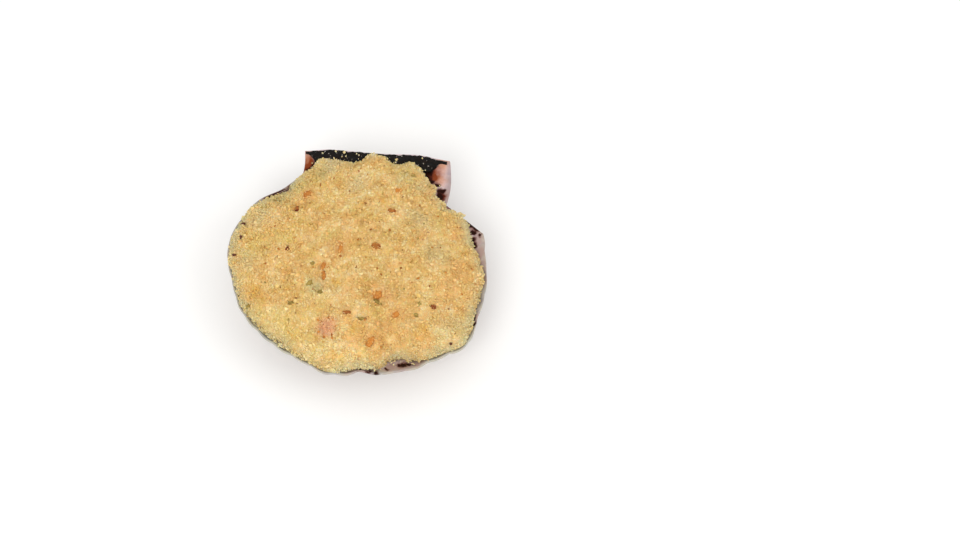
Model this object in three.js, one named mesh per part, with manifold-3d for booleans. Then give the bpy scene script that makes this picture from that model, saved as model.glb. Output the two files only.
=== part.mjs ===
// A scallop gratinated in its deep half shell: a ribbed valve with two ears, the dark ligament along its
// straight hinge, and a heaped filling of browned breadcrumbs with bits of sweet pepper and parsley.
//
// Units are millimetres and +Z is up. While the parts are drawn, the umbo (the middle of the hinge) is the
// origin, +X runs along the hinge, -Y points to the far margin of the valve, and the rim lies at z = 0. The
// last lines move the origin to the middle of the base.
import * as THREE from "three";
import { mergeVertices } from "three/addons/utils/BufferGeometryUtils.js";
import Module from "manifold-3d";

const wasm = await Module();
wasm.setup();

const { degToRad, smoothstep, lerp } = THREE.MathUtils;

// Free space left between pieces that touch.
const CLEARANCE = 0.3;

// Outline of the valve, seen from above.
const DISC_CENTRE = new THREE.Vector2(-0.6, -42.7);
const DISC_RADIUS = 40.9;
const DISC_STRETCH = 3.1; // the disc is this much longer along its lean, and as much shorter across it
const DISC_LEAN = degToRad(-22);
const DISC_SWELLS = [
  { out: -3.2, at: degToRad(137), spread: degToRad(11) }, // the left shoulder is flatter
  { out: 2.7, at: degToRad(25), spread: degToRad(10) }, // the right one is fuller
  { out: -4.5, at: degToRad(43.5), spread: degToRad(6) }, // and hollow next to its ear
  { out: 2.7, at: degToRad(-32), spread: degToRad(9) }, // uneven places on the far margin
  { out: -1.4, at: degToRad(-78), spread: degToRad(5.5) },
  { out: -0.7, at: degToRad(-64.5), spread: degToRad(3.5) },
  { out: 1.2, at: degToRad(-96), spread: degToRad(8) },
  { out: -1.2, at: degToRad(-165.5), spread: degToRad(11) },
  { out: -1.1, at: degToRad(157.5), spread: degToRad(8.5) },
];
// The ears: half the hinge, how far the outer edge bulges, and how deep the notch lies below the hinge.
const LEFT_EAR = { hinge: 25, bulge: -0.8, depth: 13.5 };
const RIGHT_EAR = { hinge: 25.4, bulge: 1.2, depth: 19 };

// The bowl under the rim.
const BOWL_DEPTH = 17;
const BOWL_STEEP_START = 0.75; // exponents of the profile from the umbo to the margin
const BOWL_STEEP_END = 0.92;
const BOWL_ARCH_FLAT = 2.4; // exponents of the section across the valve
const BOWL_ARCH_ROUND = 0.7;
const BEAK_PUSH = 2.2; // how far the umbo swells back over the hinge
const BEAK_SIZE = 12;
const FOOT_CUT = 0.8; // how much of the belly is flat, where it rests

// The wall of the valve.
const RIM_WALL = 1.2;
const EAR_WALL = 1.5;
const BELLY_WALL = 0.8; // added to the rim's wall under the filling
const HINGE_PLATE = 4; // solid shelf behind the hinge
const SHOULDER_WALL = 0.93; // share of the fan that the cavity takes
const LEDGE_RISE = 3; // the hinge margin turns up by this
const LEDGE_WIDTH = 4.2;
const LEDGE_FADE = { from: 15, to: 26, left: 0.8, right: 0.3 }; // and by less towards the ears' ends
const LEDGE_SWELL = { out: 1.3, at: 14, spread: 8 }; // a higher stretch on the right
const EAR_SAG = 0.5;
const EAR_SAG_DEPTH = 13;

// Ribs of the disc.
const RIB_COUNT = 24;
const RIB_ROUNDNESS = 0.6; // below 1, the crests are wider than the grooves
const RIB_HEIGHT = 0.95;
const RIB_HEIGHT_UMBO = 0.2;
const RIM_WAVE = 0.45; // how deep the ribs show in the rim's upper edge
const RIM_WAVE_STARTS = 0.8;
const RIM_SCALLOP = 0.3; // how far the ribs stand out of the outline
const RIM_THIN_STARTS = 0.88; // towards the margin the wall and its ribs get thinner, by these shares
const RIM_THIN_WALL = 0.2;
const RIM_THIN_RIB = 0.45;
// Steps across each rib, and rows of points along it as shares of the way from the umbo to the margin.
const FINE = 4;
const COARSE = 2;
const OUTER_ROWS = [
  { steps: FINE, shares: [0.05, 0.11, 0.19, 0.28, 0.38, 0.48, 0.58, 0.68, 0.78, 0.87, 0.94, 1] },
];
const INNER_ROWS = [
  { steps: COARSE, shares: [0.05, 0.12, 0.22, 0.36, 0.52, 0.68, 0.82] },
  { steps: FINE, shares: [0.92, 1] },
];

// The ligament, a dark strip on the upturned hinge margin.
const LIGAMENT_HALF = 24.6;
const LIGAMENT_START = 0.7; // distances from the hinge
const LIGAMENT_END = 4.3;
const LIGAMENT_THICKNESS = 0.9;
const LIGAMENT_LIFT = 0.62; // free space between it and the ledge, whose facets dip a little
const LIGAMENT_STEPS = 26;
const LIGAMENT_TIP = 0.1; // share of its width and thickness left at the ends
const LIGAMENT_TAPER = { left: { from: 19, to: 24.6 }, right: { from: 18.5, to: 23 } }; // where it thins out
const LIGAMENT_LEAST = 0.28; // added to its width where it is thinnest
const LIGAMENT_SECTION = [
  { share: 0.02, lift: 0.35 },
  { share: 0.25, lift: 0.9 },
  { share: 0.55, lift: 1 },
  { share: 0.8, lift: 0.8 },
  { share: 0.98, lift: 0.3 },
];
const LIGAMENT_UNEVEN = 0.25;

// The filling: a mound over the bowl, a neck between the ears, and a peak that covers the hinge's middle.
const MOUND_RISE = 6;
const MOUND_ROUND = 2.4;
const MOUND_RINGS = 25;
const FLOOR_RINGS = [1, 0.97, 0.93, 0.88, 0.8, 0.68, 0.52, 0.34, 0.16];
const CRUST_EDGE = 0.8; // thickness at its edge
const EDGE_BLEND = 6; // the higher, the nearer to its edge the mound follows the rim
const RIM_BARE = 0.45; // bare strip of rim round the filling
const RIM_BARE_MORE = [
  { out: 5.2, at: degToRad(-61), spread: degToRad(9) },
  { out: 0.7, at: degToRad(-8), spread: degToRad(24) },
  { out: 3.4, at: degToRad(22), spread: degToRad(11) },
  { out: 1.6, at: degToRad(50), spread: degToRad(3) },
  { out: 1.0, at: degToRad(-133), spread: degToRad(18) },
  { out: 0.7, at: degToRad(145), spread: degToRad(6) },
];
const FILLING_SWELLS = [
  { out: 0.5, at: degToRad(115), spread: degToRad(3) }, // crumbs that spill over the ligament
  { out: 0.9, at: degToRad(83), spread: degToRad(2.5) },
  { out: 0.9, at: degToRad(71.5), spread: degToRad(2.5) },
  { out: 2.2, at: degToRad(56), spread: degToRad(3) }, // and over the foot of the right ear
  { out: 2.3, at: degToRad(45), spread: degToRad(4) },
  { out: 1.4, at: degToRad(38), spread: degToRad(4) },
  { out: -0.5, at: degToRad(141), spread: degToRad(9) }, // and where the rim stays bare
];
const NECK_LEFT = 18.2; // how wide the neck is at the hinge, on either side of the umbo
const NECK_RIGHT = 14.4;
const NECK_FLARE = 0.53;
const NECK_GAP_LEFT = 3.6; // distance of the neck from the hinge, on either side of the peak
const NECK_GAP_RIGHT = 3;
const PEAK_HALF = 4;
const PEAK_GAP = 1;
const EDGE_ROUGHNESS = 0.65;
const EDGE_CALM = 0.35; // share of the mound's relief left at its edge
// The mound's relief from broad lumps to single crumbs: the height of each kind, and how far apart they are.
const MOUND_RELIEF = [
  { height: 0.45, size: 11 },
  { height: 0.45, size: 6.5 },
  { height: 0.4, size: 3.4 },
  { height: 0.35, size: 1.6 },
];

// Bits in the filling: [x, y, length, width, turn in degrees].
const PEPPER_BITS = [
  [-20.2, -19.6, 3.1, 2.2, 30],
  [-22.6, -26.2, 2.0, 1.6, 80],
  [9.1, -24.3, 2.8, 1.4, -15],
  [-22.7, -42.2, 2.0, 1.6, 70],
  [6.0, -38.9, 3.1, 2.4, -20],
  [-5.4, -41.1, 4.4, 1.2, 85],
  [-9.9, -48.3, 3.0, 1.3, 80],
  [-9.2, -51.4, 3.4, 1.4, 100],
  [8.9, -56.2, 3.0, 2.7, 10],
  [0.1, -63.6, 2.7, 1.2, 5],
  [15.6, -62.3, 2.5, 1.8, 40],
  [27.1, -58.0, 1.8, 1.6, 0],
  [8.7, -71.4, 3.8, 2.0, 75],
  [10.1, -15.7, 2.4, 2.0, 20],
];
const PARSLEY_BITS = [
  [-13.4, -54.4, 2.3, 1.5, 60],
  [-9.2, -57.5, 1.7, 1.3, 20],
  [-18.4, -61.5, 1.8, 1.3, -20],
  [-32.8, -61.8, 1.7, 1.4, 45],
  [9.2, -58.6, 2.8, 1.2, -25],
  [4.9, -64.7, 2.1, 1.1, 5],
  [22.5, -58.0, 1.7, 1.2, 80],
  [22.1, -61.5, 1.5, 1.2, -30],
  [-13.5, -47.2, 1.5, 1.2, 0],
  [13.8, -7.4, 1.4, 1.1, 50],
];
const BIT_THICKNESS = 0.45; // share of a bit's width, and what every bit has more than that
const BIT_THICKNESS_LEAST = 0.4;
const BIT_PROUD = 0.15; // how far a bit's middle lies above the mound, as a share of its thickness
const CRUMB_LUMPS = 28; // the coarsest crumbs
const CRUMB_LUMP_SIZE = [1.6, 2.6];
const CRUMB_LUMP_REACH = 0.94; // share of the way to the edge over which they lie
const MORSEL = { centre: new THREE.Vector2(-5.5, -68.8), radius: 3.3, rise: 0.5 }; // lies under the crumbs
const SMOOTHING = 0.06; // details of the cut filling below this size are dropped

const COLOURS = {
  shell: { color: 0xcdbfbb, roughness: 0.45, metalness: 0 },
  hinge_ligament: { color: 0x241f1c, roughness: 0.35, metalness: 0 },
  crumb_filling: { color: 0xdfb573, roughness: 0.85, metalness: 0 },
};

// A repeatable stream of random numbers between 0 and 1.
function randomStream(seed) {
  let state = seed;
  return () => {
    state = (state + 0x6d2b79f5) | 0;
    let mixed = Math.imul(state ^ (state >>> 15), 1 | state);
    mixed = (mixed + Math.imul(mixed ^ (mixed >>> 7), 61 | mixed)) ^ mixed;
    return ((mixed ^ (mixed >>> 14)) >>> 0) / 2 ** 32;
  };
}

// Smooth relief between -1 and 1 over the plan, with bumps about `size` apart.
function relief(x, y, size, seed) {
  const corner = (i, j) => {
    const wild = Math.sin(i * 127.1 + j * 311.7 + seed * 74.7) * 43758.5453;
    return 2 * (wild - Math.floor(wild)) - 1;
  };
  const column = Math.floor(x / size);
  const row = Math.floor(y / size);
  const across = smoothstep(x / size - column, 0, 1);
  const along = smoothstep(y / size - row, 0, 1);
  const near = lerp(corner(column, row), corner(column + 1, row), across);
  const far = lerp(corner(column, row + 1), corner(column + 1, row + 1), across);
  return lerp(near, far, along);
}

// Sum of soft bumps round a circle, each `out` high at its own angle.
function swellAt(angle, swells) {
  return swells.reduce((sum, { out, at, spread }) => {
    const away = Math.atan2(Math.sin(angle - at), Math.cos(angle - at));
    return sum + out * Math.exp(-((away / spread) ** 2));
  }, 0);
}

// Distance along a line at which `inside` turns false, between a place within and one beyond.
function exitOf(inside, within, beyond) {
  let low = within;
  let high = beyond;
  for (let step = 0; step < 40; step += 1) {
    const middle = (low + high) / 2;
    if (inside(middle)) low = middle;
    else high = middle;
  }
  return low;
}

// ---- Outline ----

// The disc's radius in a direction from its own centre.
function discRadius(angle) {
  const oval = DISC_STRETCH * Math.cos(2 * (angle - DISC_LEAN));
  return DISC_RADIUS + oval + swellAt(angle, DISC_SWELLS);
}

// The fan spreads from the umbo: direction 0 leads to the far margin, 90 degrees to the hinge's right end.
function fanPoint(fan, reach) {
  return new THREE.Vector2(Math.sin(fan), -Math.cos(fan)).multiplyScalar(reach);
}

function discReach(fan) {
  const nearest = DISC_CENTRE.dot(fanPoint(fan, 1));
  const inside = (reach) => {
    const spoke = fanPoint(fan, reach).sub(DISC_CENTRE);
    return spoke.length() < discRadius(Math.atan2(spoke.y, spoke.x));
  };
  return inside(nearest) ? exitOf(inside, nearest, 3 * DISC_RADIUS) : 0;
}

function earReach(fan) {
  const ear = fan < 0 ? LEFT_EAR : RIGHT_EAR;
  const inside = (reach) => {
    const { x, y } = fanPoint(fan, reach);
    return -y < ear.depth && Math.abs(x) < ear.hinge + ear.bulge * Math.sin((Math.PI * -y) / ear.depth);
  };
  return exitOf(inside, 0, 3 * DISC_RADIUS);
}

function marginReach(fan) {
  return Math.max(discReach(fan), earReach(fan));
}

// The notch between disc and ear, as a direction of the fan. `side` is -1 on the left and 1 on the right.
function notchOf(side) {
  const discIsWider = (fan) => discReach(side * fan) > earReach(side * fan);
  return exitOf(discIsWider, degToRad(45), degToRad(85));
}
const NOTCH = { left: notchOf(-1), right: notchOf(1) };

// ---- Shell ----

// Place in the fan as the bowl reads it: 0 in the middle, 1 at a notch, more on an ear.
function fanShare(fan) {
  return fan < 0 ? -fan / NOTCH.left : fan / NOTCH.right;
}

function bowlProfile(along) {
  const deepest = BOWL_STEEP_START / (BOWL_STEEP_START + BOWL_STEEP_END);
  const shape = (t) => t ** BOWL_STEEP_START * (1 - t) ** BOWL_STEEP_END;
  return shape(Math.min(1, Math.max(0, along))) / shape(deepest);
}

function bowlArch(share) {
  return Math.max(0, 1 - share ** BOWL_ARCH_FLAT) ** BOWL_ARCH_ROUND;
}

// How the hinge margin turns up and the ears sag, by place along the hinge and distance from it.
function hingeLedge(x, away) {
  const fade = x < 0 ? LEDGE_FADE.left : LEDGE_FADE.right;
  const rise = LEDGE_RISE * (1 - fade * smoothstep(Math.abs(x), LEDGE_FADE.from, LEDGE_FADE.to));
  const swell = LEDGE_SWELL.out * Math.exp(-(((x - LEDGE_SWELL.at) / LEDGE_SWELL.spread) ** 2));
  const upturn = (rise + swell) * (1 - smoothstep(away, 0, LEDGE_WIDTH));
  return upturn - EAR_SAG * (1 - smoothstep(away, EAR_SAG_DEPTH, 2 * EAR_SAG_DEPTH));
}

// 1 on a rib's crest, 0 in the groove beside it. `rib` counts ribs across the disc, and is null on an ear.
function ribCrest(rib) {
  return rib === null ? 0 : (0.5 - 0.5 * Math.cos(2 * Math.PI * rib)) ** RIB_ROUNDNESS;
}

// A point of the valve's inner face. `along` runs from 0 at the umbo to 1 at the margin.
function innerPoint(fan, along, rib, reach, raised = 0) {
  const crest = smoothstep(along, RIM_WAVE_STARTS, 1) * ribCrest(rib);
  const { x, y } = fanPoint(fan, along * (reach + RIM_SCALLOP * crest));
  const arch = bowlArch(fanShare(fan) / SHOULDER_WALL) * smoothstep(-y, HINGE_PLATE, 3 * HINGE_PLATE);
  const cavity = (BOWL_DEPTH - BELLY_WALL) * bowlProfile(along) * arch;
  return new THREE.Vector3(x, y, hingeLedge(x, -y) - cavity - RIM_WAVE * crest + raised);
}

// A point of the valve's ribbed outer face.
function outerPoint(fan, along, rib, reach) {
  const rimFade = smoothstep(along, RIM_WAVE_STARTS, 1);
  const out = along * (reach + RIM_SCALLOP * rimFade * ribCrest(rib));
  const { x, y } = fanPoint(fan, out);
  const share = fanShare(fan);
  const bowl = BOWL_DEPTH * bowlProfile(along) * bowlArch(share);
  const thin = smoothstep(along, RIM_THIN_STARTS, 1);
  const wall = lerp(RIM_WALL, EAR_WALL, smoothstep(share, 1, 1.2)) * (1 - RIM_THIN_WALL * thin);
  const ridge = lerp(RIB_HEIGHT_UMBO, RIB_HEIGHT, along) * (1 - RIM_THIN_RIB * thin) * ribCrest(rib);
  const foot = FOOT_CUT - BOWL_DEPTH - RIM_WALL - RIB_HEIGHT / 2;
  const beak = BEAK_PUSH * smoothstep(bowl, 0, BOWL_DEPTH / 2) * Math.exp(-((out / BEAK_SIZE) ** 2));
  return new THREE.Vector3(x, y + beak, Math.max(foot, hingeLedge(x, -y) - wall - bowl - ridge));
}

// A closed surface that grows by points and by bands of triangles.
class Skin {
  points = [];
  faces = [];

  add(point) {
    this.points.push(point.x, point.y, point.z);
    return this.points.length / 3 - 1;
  }

  // Fills the strip between two lines of points that run the same way, whatever their counts. Seen from
  // outside, `upper` is on the left of `lower`.
  band(lower, upper) {
    const lowerSteps = Math.max(1, lower.length - 1);
    const upperSteps = Math.max(1, upper.length - 1);
    let i = 0;
    let j = 0;
    while (i < lower.length - 1 || j < upper.length - 1) {
      const lowerIsNext = i < lower.length - 1 && (i + 1) / lowerSteps <= (j + 1) / upperSteps;
      if (lowerIsNext || j === upper.length - 1) {
        this.faces.push(lower[i], lower[i + 1], upper[j]);
        i += 1;
      } else {
        this.faces.push(lower[i], upper[j + 1], upper[j]);
        j += 1;
      }
    }
  }

  solid() {
    return new wasm.Manifold(
      new wasm.Mesh({
        numProp: 3,
        vertProperties: new Float32Array(this.points),
        triVerts: new Uint32Array(this.faces),
      }),
    );
  }
}

// The lines of the fan from the left end of the hinge to the right one. Each has its direction, its place
// among the ribs, and its length. An ear takes as many as two ribs, closer together towards the hinge.
function fanLines(steps) {
  const lines = [];
  const addLine = (fan, rib) => lines.push({ fan, rib, reach: marginReach(fan) });
  const earSteps = 2 * steps;
  const onEar = (notch, step) => lerp(Math.PI / 2, notch, (step / earSteps) ** 1.5);
  for (let step = 0; step < earSteps; step += 1) addLine(-onEar(NOTCH.left, step), null);
  for (let step = 0; step <= RIB_COUNT * steps; step += 1)
    addLine(lerp(-NOTCH.left, NOTCH.right, step / (RIB_COUNT * steps)), step / steps);
  for (let step = earSteps - 1; step >= 0; step -= 1) addLine(onEar(NOTCH.right, step), null);
  return lines;
}

// The valve as a closed solid. `raised` lifts its inner face, for clearances.
function valveSolid(raised = 0) {
  const skin = new Skin();
  const row = (place, steps, along) =>
    fanLines(steps).map(({ fan, rib, reach }) => skin.add(place(fan, along, rib, reach, raised)));
  const face = (place, groups) => [
    [skin.add(place(0, 0, null, 0, raised))],
    ...groups.flatMap(({ steps, shares }) => shares.map((along) => row(place, steps, along))),
  ];
  const outer = face(outerPoint, OUTER_ROWS);
  const inner = face(innerPoint, INNER_ROWS);
  for (let row = 1; row < outer.length; row += 1) skin.band(outer[row - 1], outer[row]);
  for (let row = 1; row < inner.length; row += 1) skin.band(inner[row], inner[row - 1]);
  skin.band(outer.at(-1), inner.at(-1));
  skin.band(outer.map((row) => row[0]), inner.map((row) => row[0]));
  skin.band(inner.map((row) => row.at(-1)), outer.map((row) => row.at(-1)));
  return skin.solid();
}

// ---- Ligament ----

// The strip lies on the upturned ledge and thins out towards both ears. `grown` makes it larger all round.
function ligamentSolid(grown = 0) {
  const skin = new Skin();
  const sections = [];
  for (let step = 0; step <= LIGAMENT_STEPS; step += 1) {
    const place = (2 * step) / LIGAMENT_STEPS - 1;
    const x = place * (LIGAMENT_HALF + grown);
    const { from, to } = place < 0 ? LIGAMENT_TAPER.left : LIGAMENT_TAPER.right;
    const taper = lerp(1, LIGAMENT_TIP, smoothstep(Math.abs(x), from, to));
    const widest = LIGAMENT_END - LIGAMENT_START;
    const width = lerp(LIGAMENT_LEAST, widest, taper) + LIGAMENT_UNEVEN * taper * relief(x, 0, 2.5, 3);
    const thick = LIGAMENT_THICKNESS * taper * (1 + LIGAMENT_UNEVEN * relief(x, 0, 3.1, 5));
    const corner = (share, lift) => {
      const away = lerp(LIGAMENT_START - grown, LIGAMENT_START + width + grown, share);
      return skin.add(new THREE.Vector3(x, -away, hingeLedge(x, away) + LIGAMENT_LIFT - grown + lift));
    };
    const top = LIGAMENT_SECTION.map(({ share, lift }) => corner(share, lift * thick + 2 * grown));
    const bottom = [1, 0.75, 0.5, 0.25, 0].map((share) => corner(share, 0));
    sections.push([...top, ...bottom, top[0]]);
  }
  for (let step = 1; step < sections.length; step += 1) skin.band(sections[step - 1], sections[step]);
  closeSection(skin, sections[0], true);
  closeSection(skin, sections.at(-1), false);
  return skin.solid();
}

// Closes a section whose first half runs one way and whose second half runs back under it.
function closeSection(skin, section, facesLeft) {
  const half = (section.length - 1) / 2;
  const top = section.slice(0, half);
  const bottom = section.slice(half, 2 * half).reverse();
  if (facesLeft) skin.band(bottom, top);
  else skin.band(top, bottom);
}

// ---- Filling ----

// A place in the plan, by direction and distance from the disc's centre.
function discPoint(angle, reach) {
  return new THREE.Vector2(Math.cos(angle), Math.sin(angle)).multiplyScalar(reach).add(DISC_CENTRE);
}

// Distance of the filling's edge from the hinge.
function neckGap(x) {
  const side = lerp(NECK_GAP_LEFT, NECK_GAP_RIGHT, smoothstep(x, -PEAK_HALF, PEAK_HALF));
  return lerp(side, PEAK_GAP, Math.exp(-((x / PEAK_HALF) ** 2)));
}

// How far the neck of the filling reaches from the disc's centre.
function neckReach(angle) {
  const rise = Math.sin(angle);
  if (rise < 0.3) return 0;
  const toHinge = -DISC_CENTRE.y / rise;
  const toEnd = toHinge - neckGap(discPoint(angle, toHinge).x) / rise;
  const sideways = Math.cos(angle);
  const width = sideways < 0 ? NECK_LEFT + DISC_CENTRE.x : NECK_RIGHT - DISC_CENTRE.x;
  const toSide = (width - NECK_FLARE * DISC_CENTRE.y) / (Math.abs(sideways) + NECK_FLARE * rise);
  return Math.min(toEnd, toSide);
}

// How far the filling reaches from the disc's centre.
function fillingReach(angle) {
  const overDisc = discRadius(angle) - RIM_BARE - swellAt(angle, RIM_BARE_MORE);
  const reach = Math.max(overDisc, neckReach(angle)) + swellAt(angle, FILLING_SWELLS);
  const { x, y } = discPoint(angle, reach);
  return reach + EDGE_ROUGHNESS * (relief(x, y, 2.6, 11) - 0.3);
}

// Height of the valve's inner face at a place in the plan.
function innerHeight({ x, y }) {
  const fan = Math.atan2(x, -y);
  const reach = marginReach(fan);
  return innerPoint(fan, Math.min(1, Math.hypot(x, y) / reach), null, reach).z;
}

// A point of the mound's top. `share` runs from 0 at the disc's centre to 1 at the filling's edge.
function moundPoint(angle, share) {
  const reach = fillingReach(angle);
  const place = discPoint(angle, share * reach);
  const brim = innerHeight(discPoint(angle, reach));
  const dome = MOUND_RISE * (1 - share ** MOUND_ROUND);
  const morsel = MORSEL.rise * Math.exp(-((place.distanceTo(MORSEL.centre) / MORSEL.radius) ** 4));
  const reliefOf = ({ height, size }) => height * relief(place.x, place.y, size, size);
  const rough = MOUND_RELIEF.reduce((sum, kind) => sum + reliefOf(kind), 0);
  const calm = lerp(1, EDGE_CALM, smoothstep(share, 0.88, 1));
  const height = brim * share ** EDGE_BLEND + CRUST_EDGE + dome + morsel + rough * calm;
  return new THREE.Vector3(place.x, place.y, height);
}

// A point under the mound, within the valve's wall.
function floorPoint(angle, share) {
  const place = discPoint(angle, share * fillingReach(angle));
  return new THREE.Vector3(place.x, place.y, innerHeight(place) - RIM_WALL / 2);
}

// The mound down to the middle of the valve's wall, before the valve and the ligament are cut from it.
function moundSolid() {
  const skin = new Skin();
  const ring = (count, place) => {
    const points = [];
    for (let step = 0; step < count; step += 1) points.push(skin.add(place((2 * Math.PI * step) / count)));
    return [...points, points[0]];
  };
  const top = [];
  for (let row = 1; row <= MOUND_RINGS; row += 1)
    top.push(ring(6 * row, (angle) => moundPoint(angle, row / MOUND_RINGS)));
  const floor = FLOOR_RINGS.map((share) =>
    ring(6 * Math.ceil(MOUND_RINGS * Math.max(share ** 3, 0.1)), (angle) => floorPoint(angle, share)),
  );
  skin.band(top[0], [skin.add(moundPoint(0, 0))]);
  for (let row = 1; row < top.length; row += 1) skin.band(top[row], top[row - 1]);
  skin.band(floor[0], top.at(-1));
  for (let row = 1; row < floor.length; row += 1) skin.band(floor[row], floor[row - 1]);
  skin.band([skin.add(floorPoint(0, 0))], floor.at(-1));
  return skin.solid();
}

// A three.js geometry as a manifold-3d solid.
function solidOf(geometry) {
  const bare = geometry.clone();
  bare.deleteAttribute("normal");
  bare.deleteAttribute("uv");
  const merged = mergeVertices(bare);
  return new wasm.Manifold(
    new wasm.Mesh({
      numProp: 3,
      vertProperties: new Float32Array(merged.getAttribute("position").array),
      triVerts: new Uint32Array(merged.index.array),
    }),
  );
}

// Height of the mound at a place in the plan.
function moundHeight(x, y) {
  const spoke = new THREE.Vector2(x, y).sub(DISC_CENTRE);
  const angle = Math.atan2(spoke.y, spoke.x);
  return moundPoint(angle, spoke.length() / fillingReach(angle)).z;
}

// One angular bit, half sunk in the mound.
function bitSolid(x, y, length, width, turnDegrees, thickness) {
  const shape = new THREE.IcosahedronGeometry(0.5, 0);
  shape.scale(length, width, thickness);
  shape.rotateZ(degToRad(turnDegrees));
  shape.translate(x, y, moundHeight(x, y) + BIT_PROUD * thickness);
  return solidOf(shape);
}

// The mound with its bits, cut clear of what it lies on.
function fillingSolid(valveRoom, ligamentRoom) {
  const random = randomStream(7);
  const between = ([low, high]) => lerp(low, high, random());
  const bits = [...PEPPER_BITS, ...PARSLEY_BITS].map(([x, y, length, width, turn]) =>
    bitSolid(x, y, length, width, turn, BIT_THICKNESS * width + BIT_THICKNESS_LEAST),
  );
  for (let lump = 0; lump < CRUMB_LUMPS; lump += 1) {
    const angle = 2 * Math.PI * random();
    const share = CRUMB_LUMP_REACH * Math.sqrt((lump + random()) / CRUMB_LUMPS);
    const { x, y } = discPoint(angle, share * fillingReach(angle));
    const size = between(CRUMB_LUMP_SIZE);
    bits.push(bitSolid(x, y, size, size * between([0.7, 1]), 360 * random(), size));
  }
  const heaped = wasm.Manifold.union([moundSolid(), ...bits]);
  const fitted = heaped.subtract(valveRoom).subtract(ligamentRoom);
  const pieces = fitted.simplify(SMOOTHING).decompose().sort((a, b) => b.volume() - a.volume());
  return pieces[0];
}

// ---- The object ----

function meshOf(name, solid) {
  const { vertProperties, triVerts } = solid.getMesh();
  const geometry = new THREE.BufferGeometry();
  geometry.setAttribute("position", new THREE.BufferAttribute(vertProperties, 3));
  geometry.setIndex(new THREE.BufferAttribute(triVerts, 1));
  geometry.computeVertexNormals();
  const mesh = new THREE.Mesh(geometry, new THREE.MeshStandardMaterial(COLOURS[name]));
  mesh.name = name;
  return mesh;
}

const scallop = new THREE.Group();
scallop.add(meshOf("shell", valveSolid()));
scallop.add(meshOf("hinge_ligament", ligamentSolid()));
scallop.add(meshOf("crumb_filling", fillingSolid(valveSolid(CLEARANCE), ligamentSolid(CLEARANCE))));

// The origin is the middle of the bounding box's base, on the flat foot of the bowl.
const box = new THREE.Box3().setFromObject(scallop, true);
const middle = box.getCenter(new THREE.Vector3());
scallop.position.set(-middle.x, -middle.y, -box.min.z);

const part = new THREE.Group();
part.add(scallop);
export default part;
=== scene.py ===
"""A scallop gratinated in its half shell: the finished look of the part.

Lengths in this file are millimetres unless a Blender property holds them, which counts in metres. Places are
given from the umbo, the middle of the hinge: +X runs along the hinge, -Y points to the far margin of the
valve, +Z is up and the rim lies at z = 0. `make_piece` moves them into the frame of the solids.
"""

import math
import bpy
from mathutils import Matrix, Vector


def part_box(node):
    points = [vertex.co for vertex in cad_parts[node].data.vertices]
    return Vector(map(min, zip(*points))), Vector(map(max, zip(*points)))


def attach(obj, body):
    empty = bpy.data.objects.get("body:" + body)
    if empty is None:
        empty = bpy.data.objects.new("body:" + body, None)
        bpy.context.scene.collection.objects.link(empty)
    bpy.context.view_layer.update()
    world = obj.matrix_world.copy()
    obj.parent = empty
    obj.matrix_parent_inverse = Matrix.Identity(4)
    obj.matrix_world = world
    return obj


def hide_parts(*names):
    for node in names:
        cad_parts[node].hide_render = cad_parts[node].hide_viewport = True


bl_info = {
    "name": "Gratinated Scallop",
    "version": (1, 0, 0),
    "blender": (4, 5, 0),
    "location": "3D View > Sidebar > Scallop",
    "description": "Builds a gratinated scallop in its half shell, piece by piece",
    "category": "Add Mesh",
}

import bmesh
import bpy
import numpy as np
from bpy.props import FloatProperty, FloatVectorProperty, IntProperty, PointerProperty
from mathutils import Matrix, Vector

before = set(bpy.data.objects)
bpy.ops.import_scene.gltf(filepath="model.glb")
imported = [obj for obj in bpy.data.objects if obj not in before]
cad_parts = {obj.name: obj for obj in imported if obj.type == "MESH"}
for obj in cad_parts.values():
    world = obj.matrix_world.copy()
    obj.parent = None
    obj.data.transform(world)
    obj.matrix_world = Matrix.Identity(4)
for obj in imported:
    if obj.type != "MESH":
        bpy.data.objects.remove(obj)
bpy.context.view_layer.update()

MM = 0.001
BODY = "root"

# ---- Outline of the valve, seen from above ----

DISC_CENTRE = (-0.6, -42.7)
DISC_RADIUS = 40.9
DISC_STRETCH = 3.1  # longer by this along its lean, and shorter by it across
DISC_LEAN = math.radians(-22)
# Each swell: how far out, at which angle round the disc's centre, and how wide, both in degrees.
DISC_SWELLS = [
    (-3.2, 137, 11), (2.7, 25, 10), (-4.5, 43.5, 6), (2.7, -32, 9), (-1.4, -78, 5.5), (-0.7, -64.5, 3.5),
    (1.2, -96, 8), (-1.2, -165.5, 11), (-1.1, 157.5, 8.5),
]
# Left ear and right ear: length along the hinge, bulge of the outer side, and reach away from the hinge.
EAR_HINGE = {-1: 25, 1: 25.4}
EAR_BULGE = {-1: -0.8, 1: 1.2}
EAR_DEPTH = {-1: 13.5, 1: 19}

# ---- The bowl and its wall ----

BOWL_DEPTH = 17
BOWL_STEEP_START = 0.75  # powers of its profile from umbo to margin: less is steeper at that end
BOWL_STEEP_END = 0.92
BOWL_ARCH_FLAT = 2.4  # powers of its profile across: more is flatter in the middle
BOWL_ARCH_ROUND = 0.7  # less is steeper at the sides
BEAK_PUSH = 2.2  # how far the beak under the umbo bulges beyond the hinge
BEAK_SIZE = 12
FOOT_CUT = 0.8  # how much is cut off the lowest ribs, so that the valve stands
RIM_WALL = 1.2
EAR_WALL = 1.5
BELLY_WALL = 0.8  # how much thicker the wall is where the bowl is deepest
HINGE_PLATE = 4  # the hollow starts this far from the hinge
SHOULDER_WALL = 0.93  # share of the fan that the hollow takes up
LEDGE_RISE = 3  # how far the hinge margin turns up
LEDGE_WIDTH = 4.2
LEDGE_FADE_FROM = 15  # along the hinge, it is lower from here on
LEDGE_FADE_TO = 26
LEDGE_FADE = {-1: 0.8, 1: 0.3}  # by these shares, at the left and the right end
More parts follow.
